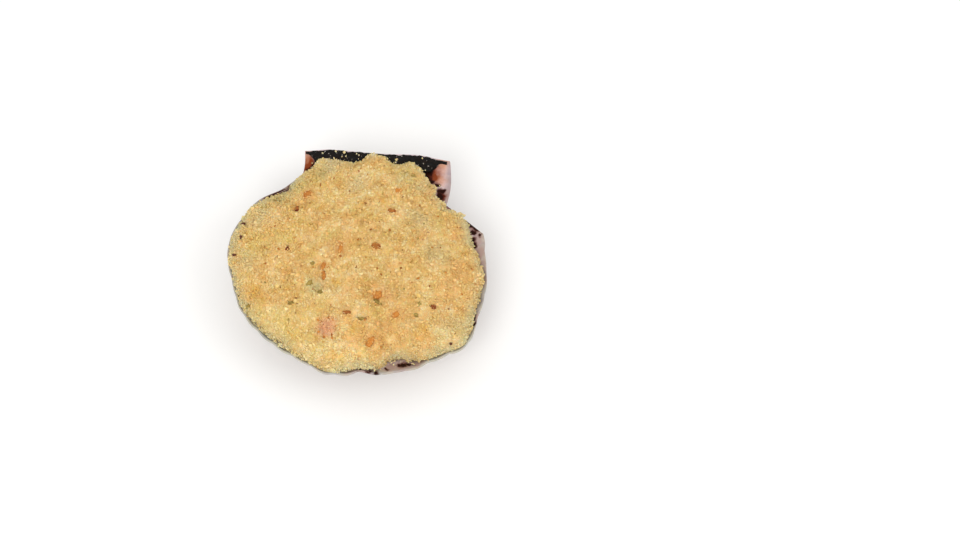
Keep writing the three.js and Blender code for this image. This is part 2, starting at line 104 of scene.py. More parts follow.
LEDGE_SWELL = {"out": 1.3, "at": 14, "spread": 8}  # a higher stretch on the right
EAR_SAG = 0.5  # how much lower the ears lie than the disc's margin
EAR_SAG_DEPTH = 13  # as far as this from the hinge
RIB_COUNT = 24
RIB_ROUNDNESS = 0.6  # less makes broader crests
RIB_HEIGHT = 0.95
RIB_HEIGHT_UMBO = 0.2
RIM_WAVE = 0.45  # how far the margin waves up and down with the ribs
RIM_WAVE_STARTS = 0.8  # share of the way from the umbo, as RIM_THIN_STARTS is
RIM_SCALLOP = 0.3  # how far it waves out and in
RIM_THIN_STARTS = 0.88
RIM_THIN_WALL = 0.2  # shares by which the wall and the ribs get thinner there
RIM_THIN_RIB = 0.45

# ---- Fineness of the valve's mesh ----

COLUMNS_PER_RIB = 12
EAR_COLUMNS = 44
EAR_RIBLETS = 6
OUTER_ROWS = np.concatenate([np.linspace(0.012, 0.08, 8), np.linspace(0.09, 1, 118)])
INNER_ROWS = np.concatenate([np.linspace(0.012, 0.7, 34), np.linspace(0.72, 1, 30)])
LIP_STEPS = 4  # rows of points round the lip, between the two faces
LIP_ROUND = 0.22  # how far the lip bulges
# Halts in growth, as shares of the way from the umbo to the margin.
GROWTH_HALTS = [0.2, 0.3, 0.39, 0.47, 0.55, 0.62, 0.69, 0.75, 0.81, 0.86, 0.905, 0.945, 0.98]
GROWTH_WAVER = 0.004  # how far a halt strays from its share of the way
GROWTH_FADE = 0.012  # how fast its ridge sinks again, as a share of the way
GROWTH_FRONT = 0.25  # how wide its outer side is, as a share of that
UMBO_TO_MARGIN = 80  # roughly: the rim's colours end long before the umbo

# ---- Ligament ----

LIGAMENT_HALF = 24.6  # half its length
LIGAMENT_START = 0.7  # distances of its two edges from the hinge
LIGAMENT_END = 4.3
LIGAMENT_THICKNESS = 0.9
LIGAMENT_LIFT = 0.62  # how far its edges stand above the hinge margin
LIGAMENT_GAP = 0.1  # between its underside and the shell
LIGAMENT_TIP = 0.1  # share of its thickness that is left at its ends
LIGAMENT_TAPER_FROM = {-1: 19, 1: 18.5}
LIGAMENT_TAPER_TO = {-1: 24.6, 1: 23}
LIGAMENT_LEAST = 0.28
LIGAMENT_UNEVEN = 0.25
LIGAMENT_STEPS = 260  # along the hinge
LIGAMENT_LINES = 17  # across it
LIGAMENT_NICKS = [(0.2, 0.7, 33), (0.12, 0.35, 34)]  # height, spacing and seed

# ---- Heap of crumbs ----

MOUND_RISE = 6
MOUND_ROUND = 2.4  # more is flatter on top
CRUST_EDGE = 0.8  # how thick the heap is near its edge, where it rounds off
CRUST_ROUNDS_FROM = 0.965  # share of the way out
CRUST_ROUNDS_OVER = 0.036
EDGE_BLEND = 6  # the higher, the nearer to its edge the heap starts to follow the valve
EDGE_CALM = 0.35  # what is left of the lumps at the edge
EDGE_CALM_FROM = 0.88
# Bare rim between the margin and the heap, and the stretches where it is wider, given like the disc's swells.
RIM_BARE = 0.45
RIM_BARE_MORE = [
    (5.2, -61, 9), (0.7, -8, 24), (3.4, 22, 11), (1.6, 50, 3), (1.0, -133, 18), (0.7, 145, 6),
]
# Tongues of crumbs, given in the same way.
HEAP_SWELLS = [
    (0.5, 115, 3), (0.9, 83, 2.5), (0.9, 71.5, 2.5), (2.2, 56, 3), (2.3, 45, 4), (1.4, 38, 4),
    (-0.5, 141, 9),
]
# The neck of the heap lies between the ears.
NECK_WIDTH = {-1: 18.2, 1: 14.4}  # its reach along the hinge, to the left and to the right
NECK_FLARE = 0.53  # how much wider it is for each millimetre away from the hinge
NECK_LEAST_RISE = 0.3  # sine of the flattest direction in which the neck is looked for
NECK_GAP = {-1: 3.6, 1: 3.0}  # between it and the hinge
PEAK_HALF = 4  # half the width of the peak in its middle that covers the ligament
PEAK_GAP = 1
EDGE_ROUGHNESS = 0.65
MOUND_RELIEF = [(0.45, 11), (0.45, 6.5), (0.4, 3.4)]  # height and spacing of its broad swells
MOUND_LUMPS = [(0.55, 2.3, 21), (0.3, 1.1, 22)]  # height, spacing and seed of its packed lumps
MORSEL = {"place": (-5.5, -68.8), "radius": 3.3, "rise": 0.5}
# Loose crumbs fill the groove between the heap and the lip, where it is narrow.
FILL_WIDEST = 2.2
FILL_DIP = 0.25  # how far they stay below the lip
FILL_SLOPE = 0.2  # how much lower they are for each millimetre inwards
FILL_FROM = -18  # none fill the hinge's side of this line
FILL_LUMPS = 0.5  # their lumps, as a share of the heap's
FILL_REACH = 1.08  # how far out they are looked for, as a share of the heap's reach
HEAP_FIELD = ((-46, -88), (46, -0.3))  # corners of a field that holds the whole heap
BITS_COVERED = 0.2  # share of the crumbs that may lie on a bit
RIM_SPILL = 0.12  # how near loose crumbs come to the margin
RIM_SPILL_MORE = [(0.1, -101, 13), (-0.3, 141, 12), (0.8, -133, 18), (-0.4, -175, 8), (-0.6, -81, 5)]
NECK_SPILL = 0.45  # how far they lie beyond the heap between the ears
STRAY_STRETCHES = [(-80, -44), (30, 150)]  # angles: along the widest bare rim, and along ears and ligament
STRAYS_AT_RIM = 0.4  # share of the stray crumbs that lie on the first stretch
STRAYS_CROWD = 2.2  # the higher, the nearer to the heap they lie

# Bits in the heap: x, y, length, width, turn in degrees, and for the pepper how ripe or browned it is.
PEPPER_BITS = [
    (-20.2, -19.6, 3.4, 2.6, 30, 0.35), (-22.6, -26.2, 2.0, 1.6, 80, 0.7),
    (9.1, -24.3, 2.8, 1.5, -15, 0.5), (-22.7, -42.2, 2.0, 1.6, 70, 1.0),
    (6.0, -38.9, 3.1, 2.4, -20, 0.5), (-5.4, -41.1, 4.4, 1.2, 85, 0.15),
    (-9.9, -48.3, 3.0, 1.3, 80, 0.2), (-9.2, -51.4, 3.4, 1.4, 100, 0.3),
    (8.9, -56.2, 3.0, 2.7, 10, 0.15), (0.1, -63.6, 2.7, 1.2, 5, 0.6), (15.6, -62.3, 2.5, 1.8, 40, 0.2),
    (27.1, -58.0, 1.8, 1.6, 0, 0.7), (8.7, -71.4, 3.8, 2.0, 75, 0.15), (10.1, -15.7, 2.4, 2.0, 20, 0.1),
]
PARSLEY_BITS = [
    (-13.4, -54.4, 2.3, 1.5, 60), (-9.2, -57.5, 1.7, 1.3, 20), (-18.4, -61.5, 1.8, 1.3, -20),
    (-32.8, -61.8, 1.7, 1.4, 45), (9.2, -58.6, 2.8, 1.2, -25), (4.9, -64.7, 2.1, 1.1, 5),
    (22.5, -58.0, 1.7, 1.2, 80), (22.1, -61.5, 1.5, 1.2, -30), (-13.5, -47.2, 1.5, 1.2, 0),
    (13.8, -7.4, 1.4, 1.1, 50),
]

# Crumbs near the edge are damp and pale, unevenly, and less so towards the hinge.
DAMP_SHARES = (0.9, 0.985)  # shares of the way out at which this starts and is at its full
DAMP_BEYOND = 1.02  # crumbs further out than this are damp throughout
DAMP_FADES = (-16, -8)  # lines between which it lessens
DAMP_AT_HINGE = 0.35
DAMP_MEAN = 0.7
DAMP_UNEVEN = [(0.5, 4.5, 71), (0.3, 1.9, 72)]  # how much, spacing and seed
DAMP_IN_PATCHES = 0.6
GOLD_WARMTH = 0.22  # how much warmer crumbs are in the patches of gold
STRAW_COOLNESS = 0.35  # how much cooler they are in the patches of straw
JUICE_REACH = 0.7  # radius of the crumbs that pepper juice soaked, as a share of the bit's length

# Places where the crumbs differ in colour: x, y and radius.
PATCHES = {
    "amber": [
        (-31.7, -57.5, 2.4), (-28.0, -61.4, 1.8), (-19.6, -56.2, 1.4), (5.7, -20.6, 1.3),
        (-14.5, -25.2, 1.4), (-4.5, -54, 1.8), (24, -66, 3), (3, -68, 2.5),
    ],
    "pale": [
        (-8, -77, 6), (31, -66, 3), (-16.5, -5.5, 3), (-3, -52, 5), (13.5, -45, 5),
    ],
    "herb": [
        (-25, -15, 3.5), (-29, -21, 4), (-34, -25, 2.5), (-11, -56, 2.5), (-17, -10, 3), (11, -8, 3),
    ],
    "damp": [
        (-15, -6, 4.5), (32, -65, 4), (-30, -17.5, 4), (17, -12, 3.5), (25, -18, 3), (-36, -47, 3.5),
        (-35, -30, 4), (25.5, -38.5, 4.5), (-4, -14, 4), (18.5, -26, 4.5), (-10.5, -55, 2.2),
        (-31.5, -65.5, 3), (-25, -70.5, 3), (-37.5, -57, 2.5), (36.5, -62.5, 3),
    ],
    "gold": [
        (34, -50, 8), (24, -67, 8), (-30, -58, 6), (3, -66, 5), (-21, -47, 4), (14, -57, 5),
    ],
    "straw": [
        (-18, -70, 8), (-33, -41, 5), (-29, -66, 5), (-8, -77, 5), (-26, -36, 4),
    ],
}

# Spots of the valve's rim and ears, the dullest and widest first: x, y and radius.
STAINS = {
    "peach": [
        (-23.8, -3.4, 2.6), (22.8, -1.6, 2.6), (22.4, -6.2, 3.0),
    ],
    "mauve": [
        (3.0, -80.0, 2.4), (8.0, -79.8, 2.6), (15.5, -77.6, 2.6), (19.5, -76.4, 3.2), (24.0, -75.0, 2.2),
        (37.6, -25.0, 2.6), (38.4, -28.8, 2.8), (39.6, -33.0, 3.0), (40.2, -38.0, 3.0),
        (40.4, -43.5, 3.0), (39.6, -57.6, 2.2), (-35.6, -20.8, 1.8), (-33.4, -18.7, 2.2),
        (-30.8, -16.8, 1.8), (-28.6, -15.2, 1.4), (33.4, -20.6, 2.0), (35.4, -22.2, 2.0),
        (36.0, -25.4, 2.2), (24.4, -12.6, 3.0), (-41.6, -44.8, 2.2), (-40.9, -52.5, 1.6),
    ],
    "russet": [
        (-22.8, -6.4, 3.4), (-23.4, -5.8, 2.0), (-22.6, -3.8, 1.8), (-21.8, -8.2, 1.8),
        (19.8, -5.0, 3.4), (24.2, -13.0, 1.4), (28.5, -18.6, 2.0), (32.5, -21.0, 1.8),
    ],
    "stain": [
        (35.0, -23.0, 1.1), (36.3, -29.2, 1.2), (37.5, -30.6, 0.9), (31.4, -20.0, 0.8),
        (33.8, -21.4, 1.3), (35.4, -23.4, 1.3), (36.4, -26.2, 1.0), (-34.6, -19.6, 1.2),
        (-32.8, -18.1, 1.0), (-41.1, -31.0, 1.0), (-41.0, -37.2, 0.8), (-42.4, -46.0, 1.1),
        (6.9, -79.4, 0.9), (11.6, -80.6, 1.1), (14.5, -78.5, 0.8), (18.6, -76.4, 1.0), (5.6, -80.0, 0.6),
        (9.0, -80.2, 0.7), (-30.2, -16.4, 0.8), (-28.4, -14.9, 0.7), (20.0, -75.9, 1.4),
        (21.6, -75.9, 0.8), (38.6, -58.0, 1.5), (39.9, -53.5, 0.9), (39.4, -47.5, 0.9),
        (38.6, -39.5, 1.0), (-20.6, -6.6, 1.7), (-22.4, -7.6, 1.6), (-20.6, -4.6, 1.2),
        (-21.4, -1.4, 0.9), (18.6, -3.8, 1.9), (18.2, -6.2, 1.7), (19.8, -8.0, 1.3), (21.8, -9.0, 0.9),
        (23.6, -11.0, 1.1), (23.6, -13.2, 1.5), (24.4, -15.2, 1.1), (25.6, -17.0, 0.9),
        (27.6, -17.8, 0.8), (30.6, -19.6, 0.8), (37.0, -24.2, 1.3), (36.2, -22.9, 1.0),
        (38.6, -27.2, 0.7), (40.4, -59.9, 1.1), (39.2, -61.1, 1.1),
    ],
}
# Stretches of the margin with a wet, grey-green edge: angles round the disc's centre, in degrees.
WET_EDGE = [(-137, 22), (-72, 7), (-44, 12), (39, 9), (-104, 9)]
WET_EVERYWHERE = 0.85

# ---- Numbers that vary over a surface ----


def smoothstep(value, low, high):
    share = np.clip((value - low) / (high - low), 0, 1)
    return share * share * (3 - 2 * share)


def mix(low, high, share):
    return low + (high - low) * share


def hashed(column, row, seed):
    """Repeatable wild numbers between 0 and 1 for the cells of a grid."""
    wild = np.sin(column * 127.1 + row * 311.7 + seed * 74.7) * 43758.5453
    return wild - np.floor(wild)


def relief(x, y, size, seed):
    """Smooth relief between -1 and 1, with bumps about `size` apart."""
    column, row = np.floor(x / size), np.floor(y / size)
    across = smoothstep(x / size - column, 0, 1)
    along = smoothstep(y / size - row, 0, 1)
    near = mix(hashed(column, row, seed), hashed(column + 1, row, seed), across)
    far = mix(hashed(column, row + 1, seed), hashed(column + 1, row + 1, seed), across)
    return 2 * mix(near, far, along) - 1


def lumps(x, y, size, seed):
    """Packed round lumps about `size` across: 1 on top of each, 0 in the creases between them."""
    column, row = np.floor(x / size), np.floor(y / size)
    nearest = np.full(np.shape(x), 9.0)
    for i in (-1, 0, 1):
        for j in (-1, 0, 1):
            middle_x = column + i + 0.1 + 0.8 * hashed(column + i, row + j, seed)
            middle_y = row + j + 0.1 + 0.8 * hashed(column + i, row + j, seed + 0.5)
            nearest = np.minimum(nearest, np.hypot(x / size - middle_x, y / size - middle_y))
    return 1 - np.clip(nearest / 0.85, 0, 1) ** 2


def swell_at(angle, swells):
    """Sum of soft bumps round a circle."""
    total = np.zeros(np.shape(angle))
    for out, at, spread in swells:
        away = angle - math.radians(at)
        away = np.arctan2(np.sin(away), np.cos(away))
        total += out * np.exp(-((away / math.radians(spread)) ** 2))
    return total


def spots_at(x, y, spots):
    """How far a place lies within the nearest of several uneven spots, from 0 to 1."""
    ragged = [0.7 * relief(x, y, 2.1, seed) + 0.35 * relief(x, y, 0.9, seed) for seed in (61, 62)]
    x, y = x + ragged[0], y + ragged[1]
    strongest = np.zeros(np.shape(x))
    for spot_x, spot_y, radius in spots:
        strongest = np.maximum(strongest, np.exp(-(((x - spot_x) ** 2 + (y - spot_y) ** 2) / radius**2)))
    return strongest


# ---- Outline ----


def exit_of(inside, within, beyond):
    """Distance along many lines at which `inside` turns false."""
    low, high = within, np.full(np.shape(within), float(beyond))
    for _ in range(40):
        middle = (low + high) / 2
        still = inside(middle)
        low, high = np.where(still, middle, low), np.where(still, high, middle)
    return low


def disc_radius(angle):
    oval = DISC_STRETCH * np.cos(2 * (angle - DISC_LEAN))
    return DISC_RADIUS + oval + swell_at(angle, DISC_SWELLS)


def around_disc(x, y):
    """Angle and distance of a place from the disc's centre."""
    dx, dy = x - DISC_CENTRE[0], y - DISC_CENTRE[1]
    return np.arctan2(dy, dx), np.hypot(dx, dy)


def from_disc(angle, away):
    """The place at an angle and distance from the disc's centre."""
    return DISC_CENTRE[0] + away * np.cos(angle), DISC_CENTRE[1] + away * np.sin(angle)


def disc_reach(fan):
    """How far the disc reaches from the umbo. Direction 0 leads to the far margin."""

    def inside(reach):
        angle, away = around_disc(reach * np.sin(fan), -reach * np.cos(fan))
        return away < disc_radius(angle)

    nearest = DISC_CENTRE[0] * np.sin(fan) - DISC_CENTRE[1] * np.cos(fan)
    return np.where(inside(nearest), exit_of(inside, nearest, 3 * DISC_RADIUS), 0)


def ear_reach(fan):
    hinge, bulge, depth = (np.where(fan < 0, ear[-1], ear[1]) for ear in (EAR_HINGE, EAR_BULGE, EAR_DEPTH))

    def inside(reach):
        x, away = np.abs(reach * np.sin(fan)), reach * np.cos(fan)
        return (away < depth) & (x < hinge + bulge * np.sin(math.pi * away / depth))

    return exit_of(inside, np.zeros(np.shape(fan)), 3 * DISC_RADIUS)


def notch_of(side):
    """Direction of the notch between disc and ear."""

    def disc_is_wider(fan):
        return disc_reach(side * fan) > ear_reach(side * fan)

    return float(exit_of(disc_is_wider, np.array(math.radians(45)), math.radians(85)))


NOTCH = {side: notch_of(side) for side in (-1, 1)}
FANS = np.linspace(-math.pi / 2, math.pi / 2, 3001)
MARGIN = np.maximum(disc_reach(FANS), ear_reach(FANS))


def margin_reach(fan):
    return np.interp(fan, FANS, MARGIN)


def find_umbo():
    """The umbo's place in the frame: the outline fills the shell's solid, and the foot is at its base."""
    lowest, highest = (np.array(corner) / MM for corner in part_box("shell"))
    middle = (lowest + highest) / 2
    x, y = MARGIN * np.sin(FANS), -MARGIN * np.cos(FANS)
    foot = FOOT_CUT - BOWL_DEPTH - RIM_WALL - RIB_HEIGHT / 2
    far_margin = y.min() - RIM_SCALLOP
    return np.array([middle[0] - (x.min() + x.max()) / 2, middle[1] - far_margin / 2, lowest[2] - foot])


UMBO = find_umbo()

# ---- The valve's two faces ----


def fan_share(fan):
    """0 in the middle of the fan, 1 at a notch, more on an ear."""
    return np.where(fan < 0, -fan / NOTCH[-1], fan / NOTCH[1])


def bowl_profile(along):
    deepest = BOWL_STEEP_START / (BOWL_STEEP_START + BOWL_STEEP_END)

    def shape(t):
        return t**BOWL_STEEP_START * (1 - t) ** BOWL_STEEP_END

    return shape(np.clip(along, 0, 1)) / shape(deepest)


def bowl_arch(share):
    return np.maximum(0, 1 - share**BOWL_ARCH_FLAT) ** BOWL_ARCH_ROUND


def hinge_ledge(x, away):
    """How the hinge margin turns up and the ears sag, by place along the hinge and distance from it."""
    fade = np.where(x < 0, LEDGE_FADE[-1], LEDGE_FADE[1])
    rise = LEDGE_RISE * (1 - fade * smoothstep(np.abs(x), LEDGE_FADE_FROM, LEDGE_FADE_TO))
    rise = rise + LEDGE_SWELL["out"] * np.exp(-(((x - LEDGE_SWELL["at"]) / LEDGE_SWELL["spread"]) ** 2))
    upturn = rise * (1 - smoothstep(away, 0, LEDGE_WIDTH))
    return upturn - EAR_SAG * (1 - smoothstep(away, EAR_SAG_DEPTH, 2 * EAR_SAG_DEPTH))


def inner_face(fan, along, crest, reach):
    wave = smoothstep(along, RIM_WAVE_STARTS, 1) * crest
    out = along * (reach + RIM_SCALLOP * wave)
    x, y = out * np.sin(fan), -out * np.cos(fan)
    arch = bowl_arch(fan_share(fan) / SHOULDER_WALL) * smoothstep(-y, HINGE_PLATE, 3 * HINGE_PLATE)
    cavity = (BOWL_DEPTH - BELLY_WALL) * bowl_profile(along) * arch
    return np.stack([x, y, hinge_ledge(x, -y) - cavity - RIM_WAVE * wave], axis=-1)


def outer_face(fan, along, crest, reach, raised):
    """`raised` is the thickness of what grows on the wall, such as growth lines."""
    out = along * (reach + RIM_SCALLOP * smoothstep(along, RIM_WAVE_STARTS, 1) * crest)
    x, y = out * np.sin(fan), -out * np.cos(fan)
    share = fan_share(fan)
    bowl = BOWL_DEPTH * bowl_profile(along) * bowl_arch(share)
    thin = smoothstep(along, RIM_THIN_STARTS, 1)
    wall = mix(RIM_WALL, EAR_WALL, smoothstep(share, 1, 1.2)) * (1 - RIM_THIN_WALL * thin)
    ridge = mix(RIB_HEIGHT_UMBO, RIB_HEIGHT, along) * (1 - RIM_THIN_RIB * thin) * crest
    foot = FOOT_CUT - BOWL_DEPTH - RIM_WALL - RIB_HEIGHT / 2
    beak = BEAK_PUSH * smoothstep(bowl, 0, BOWL_DEPTH / 2) * np.exp(-((out / BEAK_SIZE) ** 2))
    z = np.maximum(foot, hinge_ledge(x, -y) - wall - bowl - ridge - raised)
    return np.stack([x, y + beak, z], axis=-1)


def inner_height(x, y):
    """Height of the valve's inner face at a place in the plan."""
    fan = np.arctan2(x, -y)
    reach = margin_reach(fan)
    return inner_face(fan, np.minimum(1, np.hypot(x, y) / reach), 0, reach)[..., 2]


# ---- The heap's outline and top ----


def neck_reach(angle):
    """How far the neck of the heap, between the ears, reaches from the disc's centre."""
    rise = np.maximum(np.sin(angle), NECK_LEAST_RISE)
    sideways = np.cos(angle)
    to_hinge = -DISC_CENTRE[1] / rise
    x = DISC_CENTRE[0] + to_hinge * sideways
    gap = mix(NECK_GAP[-1], NECK_GAP[1], smoothstep(x, -PEAK_HALF, PEAK_HALF))
    gap = mix(gap, PEAK_GAP, np.exp(-((x / PEAK_HALF) ** 2)))
    width = np.where(sideways < 0, NECK_WIDTH[-1] + DISC_CENTRE[0], NECK_WIDTH[1] - DISC_CENTRE[0])
    to_side = (width - NECK_FLARE * DISC_CENTRE[1]) / (np.abs(sideways) + NECK_FLARE * rise)
    reach = np.minimum(to_hinge - gap / rise, to_side)
    return np.where(np.sin(angle) < NECK_LEAST_RISE, 0, reach)


def measure_heap(angle):
    """Reach of the heap from the disc's centre, and the height of the valve under its edge."""
    over_disc = disc_radius(angle) - RIM_BARE - swell_at(angle, RIM_BARE_MORE)
    reach = np.maximum(over_disc, neck_reach(angle)) + swell_at(angle, HEAP_SWELLS)
    reach = reach + EDGE_ROUGHNESS * (relief(*from_disc(angle, reach), 2.6, 11) - 0.3)
    return reach, inner_height(*from_disc(angle, reach))


ANGLES = np.linspace(-math.pi, math.pi, 6001)
HEAP_REACH, HEAP_BRIM = measure_heap(ANGLES)


def heap_share(x, y):
    """0 at the disc's centre, 1 at the heap's edge."""
    angle, away = around_disc(x, y)
    return away / np.interp(angle, ANGLES, HEAP_REACH)


def groove_fill(x, y):
    """Height to which crumbs fill the groove behind the lip. Where they leave it empty, that is far down."""
    angle, away = around_disc(x, y)
    margin = disc_radius(angle)
    narrow = (margin - np.interp(angle, ANGLES, HEAP_REACH) < FILL_WIDEST) & (y < FILL_FROM)
    return np.where(narrow, -FILL_DIP - FILL_SLOPE * (margin - away), -BOWL_DEPTH)


def over_morsel(x, y):
    """1 over the morsel that shines through the crumbs, 0 well beyond it."""
    away = np.hypot(x - MORSEL["place"][0], y - MORSEL["place"][1]) / MORSEL["radius"]
    return np.exp(-(away**4))


def heap_top(x, y):
    """Height of the heap's top, down to lumps the size of single crumbs."""
    angle, away = around_disc(x, y)
    share = away / np.interp(angle, ANGLES, HEAP_REACH)
    brim = np.interp(angle, ANGLES, HEAP_BRIM)
    dome = MOUND_RISE * (1 - np.minimum(share, 1) ** MOUND_ROUND)
    rough = sum(height * relief(x, y, size, size) for height, size in MOUND_RELIEF)
    for height, size, seed in MOUND_LUMPS:
        rough = rough + height * (lumps(x, y, size, seed) - 0.5)
    calm = mix(1, EDGE_CALM, smoothstep(share, EDGE_CALM_FROM, 1))
    rounding = np.maximum(share - CRUST_ROUNDS_FROM, 0) / CRUST_ROUNDS_OVER
    crust = CRUST_EDGE * np.sqrt(np.clip(1 - rounding**2, 0.02, 1))
    top = brim * share**EDGE_BLEND + crust + dome + MORSEL["rise"] * over_morsel(x, y) + rough * calm
    return np.maximum(top, groove_fill(x, y) + FILL_LUMPS * rough * calm)


def ligament_shape(x):
    """Width and thickness of the ligament along the hinge."""
    starts, ends = (np.where(x < 0, side[-1], side[1]) for side in (LIGAMENT_TAPER_FROM, LIGAMENT_TAPER_TO))
    taper = mix(1, LIGAMENT_TIP, smoothstep(np.abs(x), starts, ends))
    widest = LIGAMENT_END - LIGAMENT_START
    width = mix(LIGAMENT_LEAST, widest, taper) + LIGAMENT_UNEVEN * taper * relief(x, 0 * x, 2.5, 3)
    thick = LIGAMENT_THICKNESS * taper * (1 + LIGAMENT_UNEVEN * relief(x, 0 * x, 3.1, 5))
    return width, thick


def ground_height(x, y):
    """Height of whatever lies at a place: heap, ligament or bare valve."""
    bare = inner_height(x, y)
    width, thick = ligament_shape(x)
    on_ligament = (-y > LIGAMENT_START) & (-y < LIGAMENT_START + width) & (np.abs(x) < LIGAMENT_HALF)
    ground = np.where(on_ligament, bare + LIGAMENT_LIFT + 0.9 * thick, bare)
    share = heap_share(x, y)
    ground = np.maximum(ground, np.where(share < FILL_REACH, groove_fill(x, y), bare))
    return np.where(share < 1, np.maximum(heap_top(x, y), ground), ground)


# ---- Meshes ----


class Skin:
    """A closed surface that grows by sheets of points and by strips between lines of points."""

    def __init__(self):
        self.points, self.faces, self.measures = [], [], {}
        self.count = 0

    def add(self, points, **measures):
        """Adds points, each with its measures, and returns their numbers in the same layout."""
        layout = points.shape[:-1]
        self.points.append(points.reshape(-1, 3))
        for label, values in measures.items():
            self.measures.setdefault(label, []).append(np.broadcast_to(values, layout).ravel())
        numbers = np.arange(self.points[-1].shape[0]).reshape(layout) + self.count
        self.count += self.points[-1].shape[0]
        return numbers

    def quilt(self, numbers):
        """Fills a sheet of rows and columns."""
        a, b, c, d = numbers[:-1, :-1], numbers[:-1, 1:], numbers[1:, 1:], numbers[1:, :-1]
        for corners in ((a, b, c), (a, c, d)):
            self.faces.append(np.stack(corners, axis=-1).reshape(-1, 3))

    def strip(self, lower, upper):
        """Fills the strip between two lines that run the same way, whatever their counts."""
        lower_steps, upper_steps = max(1, len(lower) - 1), max(1, len(upper) - 1)
        i = j = 0
        made = []
        while i < len(lower) - 1 or j < len(upper) - 1:
            lower_is_next = i < len(lower) - 1 and (i + 1) / lower_steps <= (j + 1) / upper_steps
            if lower_is_next or j == len(upper) - 1:
                made.append((lower[i], lower[i + 1], upper[j]))
                i += 1
            else:
                made.append((lower[i], upper[j + 1], upper[j]))
                j += 1
        self.faces.append(np.array(made))

    def piece(self, name, slot, material):
        points, faces = np.concatenate(self.points), np.concatenate(self.faces)
        measures = {label: np.concatenate(parts) for label, parts in self.measures.items()}
        return make_piece(name, material, points, faces, measures)


def make_piece(name, material, points, faces, measures, smooth=True):
    """A mesh piece from triangles between points, with each measure kept on its points for the material."""
    mesh = bpy.data.meshes.new(name)
    mesh.vertices.add(len(points))
    mesh.vertices.foreach_set("co", ((points + UMBO) * MM).astype(np.float32).ravel())
    mesh.loops.add(faces.size)
    mesh.loops.foreach_set("vertex_index", faces.astype(np.int32).ravel())
    mesh.polygons.add(len(faces))
    mesh.polygons.foreach_set("loop_start", np.arange(0, faces.size, 3, dtype=np.int32))
    mesh.update(calc_edges=True)
    for label, values in measures.items():
        kept = mesh.attributes.new(label, "FLOAT", "POINT")
        kept.data.foreach_set("value", np.ascontiguousarray(values, dtype=np.float32))
    if smooth:
        mesh.shade_smooth()
    else:
        mesh.shade_flat()
    mesh.materials.append(material)
    piece = bpy.data.objects.new(name, mesh)
    bpy.context.scene.collection.objects.link(piece)
    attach(piece, BODY)
    return piece


def icosphere(subdivisions):
    """Points at radius 0.5 and triangles of a ball, for a crumb to be made from."""
    ball = bmesh.new()
    bmesh.ops.create_icosphere(ball, subdivisions=subdivisions, radius=0.5)
    points = np.array([corner.co[:] for corner in ball.verts])
    faces = np.array([[corner.index for corner in face.verts] for face in ball.faces])
    ball.free()
    return points, faces


def octahedron():
    """The plainest ball, for the finest crumbs."""
    points = 0.5 * np.array([(1, 0, 0), (-1, 0, 0), (0, 1, 0), (0, -1, 0), (0, 0, 1), (0, 0, -1)])
    over = [(0, 2, 4), (2, 1, 4), (1, 3, 4), (3, 0, 4)]
    under = [(2, 0, 5), (1, 2, 5), (3, 1, 5), (0, 3, 5)]
    return points, np.array(over + under)


def random_turns(count, stream):
    """Turning matrices in any direction."""
    draws = stream.normal(size=(4, count))
    w, x, y, z = draws / np.linalg.norm(draws, axis=0)
    rows = [
        [1 - 2 * (y * y + z * z), 2 * (x * y - z * w), 2 * (x * z + y * w)],
        [2 * (x * y + z * w), 1 - 2 * (x * x + z * z), 2 * (y * z - x * w)],
        [2 * (x * z - y * w), 2 * (y * z + x * w), 1 - 2 * (x * x + y * y)],
    ]
    return np.moveaxis(np.array(rows), 2, 0)


def flat_turns(degrees):
    """Turning matrices about the upright axis."""
    angle = np.radians(degrees)
    cos, sin, zero, one = np.cos(angle), np.sin(angle), np.zeros_like(angle), np.ones_like(angle)
    rows = [[cos, -sin, zero], [sin, cos, zero], [zero, zero, one]]
    return np.moveaxis(np.array(rows), 2, 0)


def ragged_copies(ball, centres, stretches, turns, raggedness, stream):
    """Many copies of a ball in one mesh, each dented by its own random draw, stretched, turned and placed."""
    shape, triangles = ball
    dents = stream.uniform(1 - raggedness, 1 + raggedness, (len(centres), len(shape), 1))
    copies = np.einsum("nij,nvj->nvi", turns, shape * dents * stretches[:, None, :]) + centres[:, None, :]
    faces = triangles[None] + len(shape) * np.arange(len(centres))[:, None, None]
    return copies.reshape(-1, 3), faces.reshape(-1, 3)


def off_the_bits(x, y, room):
    """Whether places leave the bits of pepper and parsley in sight, by at least `room`."""
    clear = np.full(np.shape(x), True)
    for bit_x, bit_y, length, width, turn in [bit[:5] for bit in (*PEPPER_BITS, *PARSLEY_BITS)]:
        cos, sin = math.cos(math.radians(turn)), math.sin(math.radians(turn))
        along = (x - bit_x) * cos + (y - bit_y) * sin
        across = (y - bit_y) * cos - (x - bit_x) * sin
        clear &= (along / (length / 2 + room)) ** 2 + (across / (width / 2 + room)) ** 2 > 1
    return clear


def places_on_heap(count, stream, widest=1.0, room=0.0):
    """Places spread evenly over the heap. Few of them cover a bit."""
    found = np.empty((0, 2))
    while len(found) < count:
        tries = stream.uniform(*HEAP_FIELD, (2 * count, 2))
        allowed = off_the_bits(*tries.T, room) | (stream.uniform(0, 1, len(tries)) < BITS_COVERED)
        found = np.concatenate([found, tries[allowed & (heap_share(*tries.T) < widest)]])
    return found[:count]


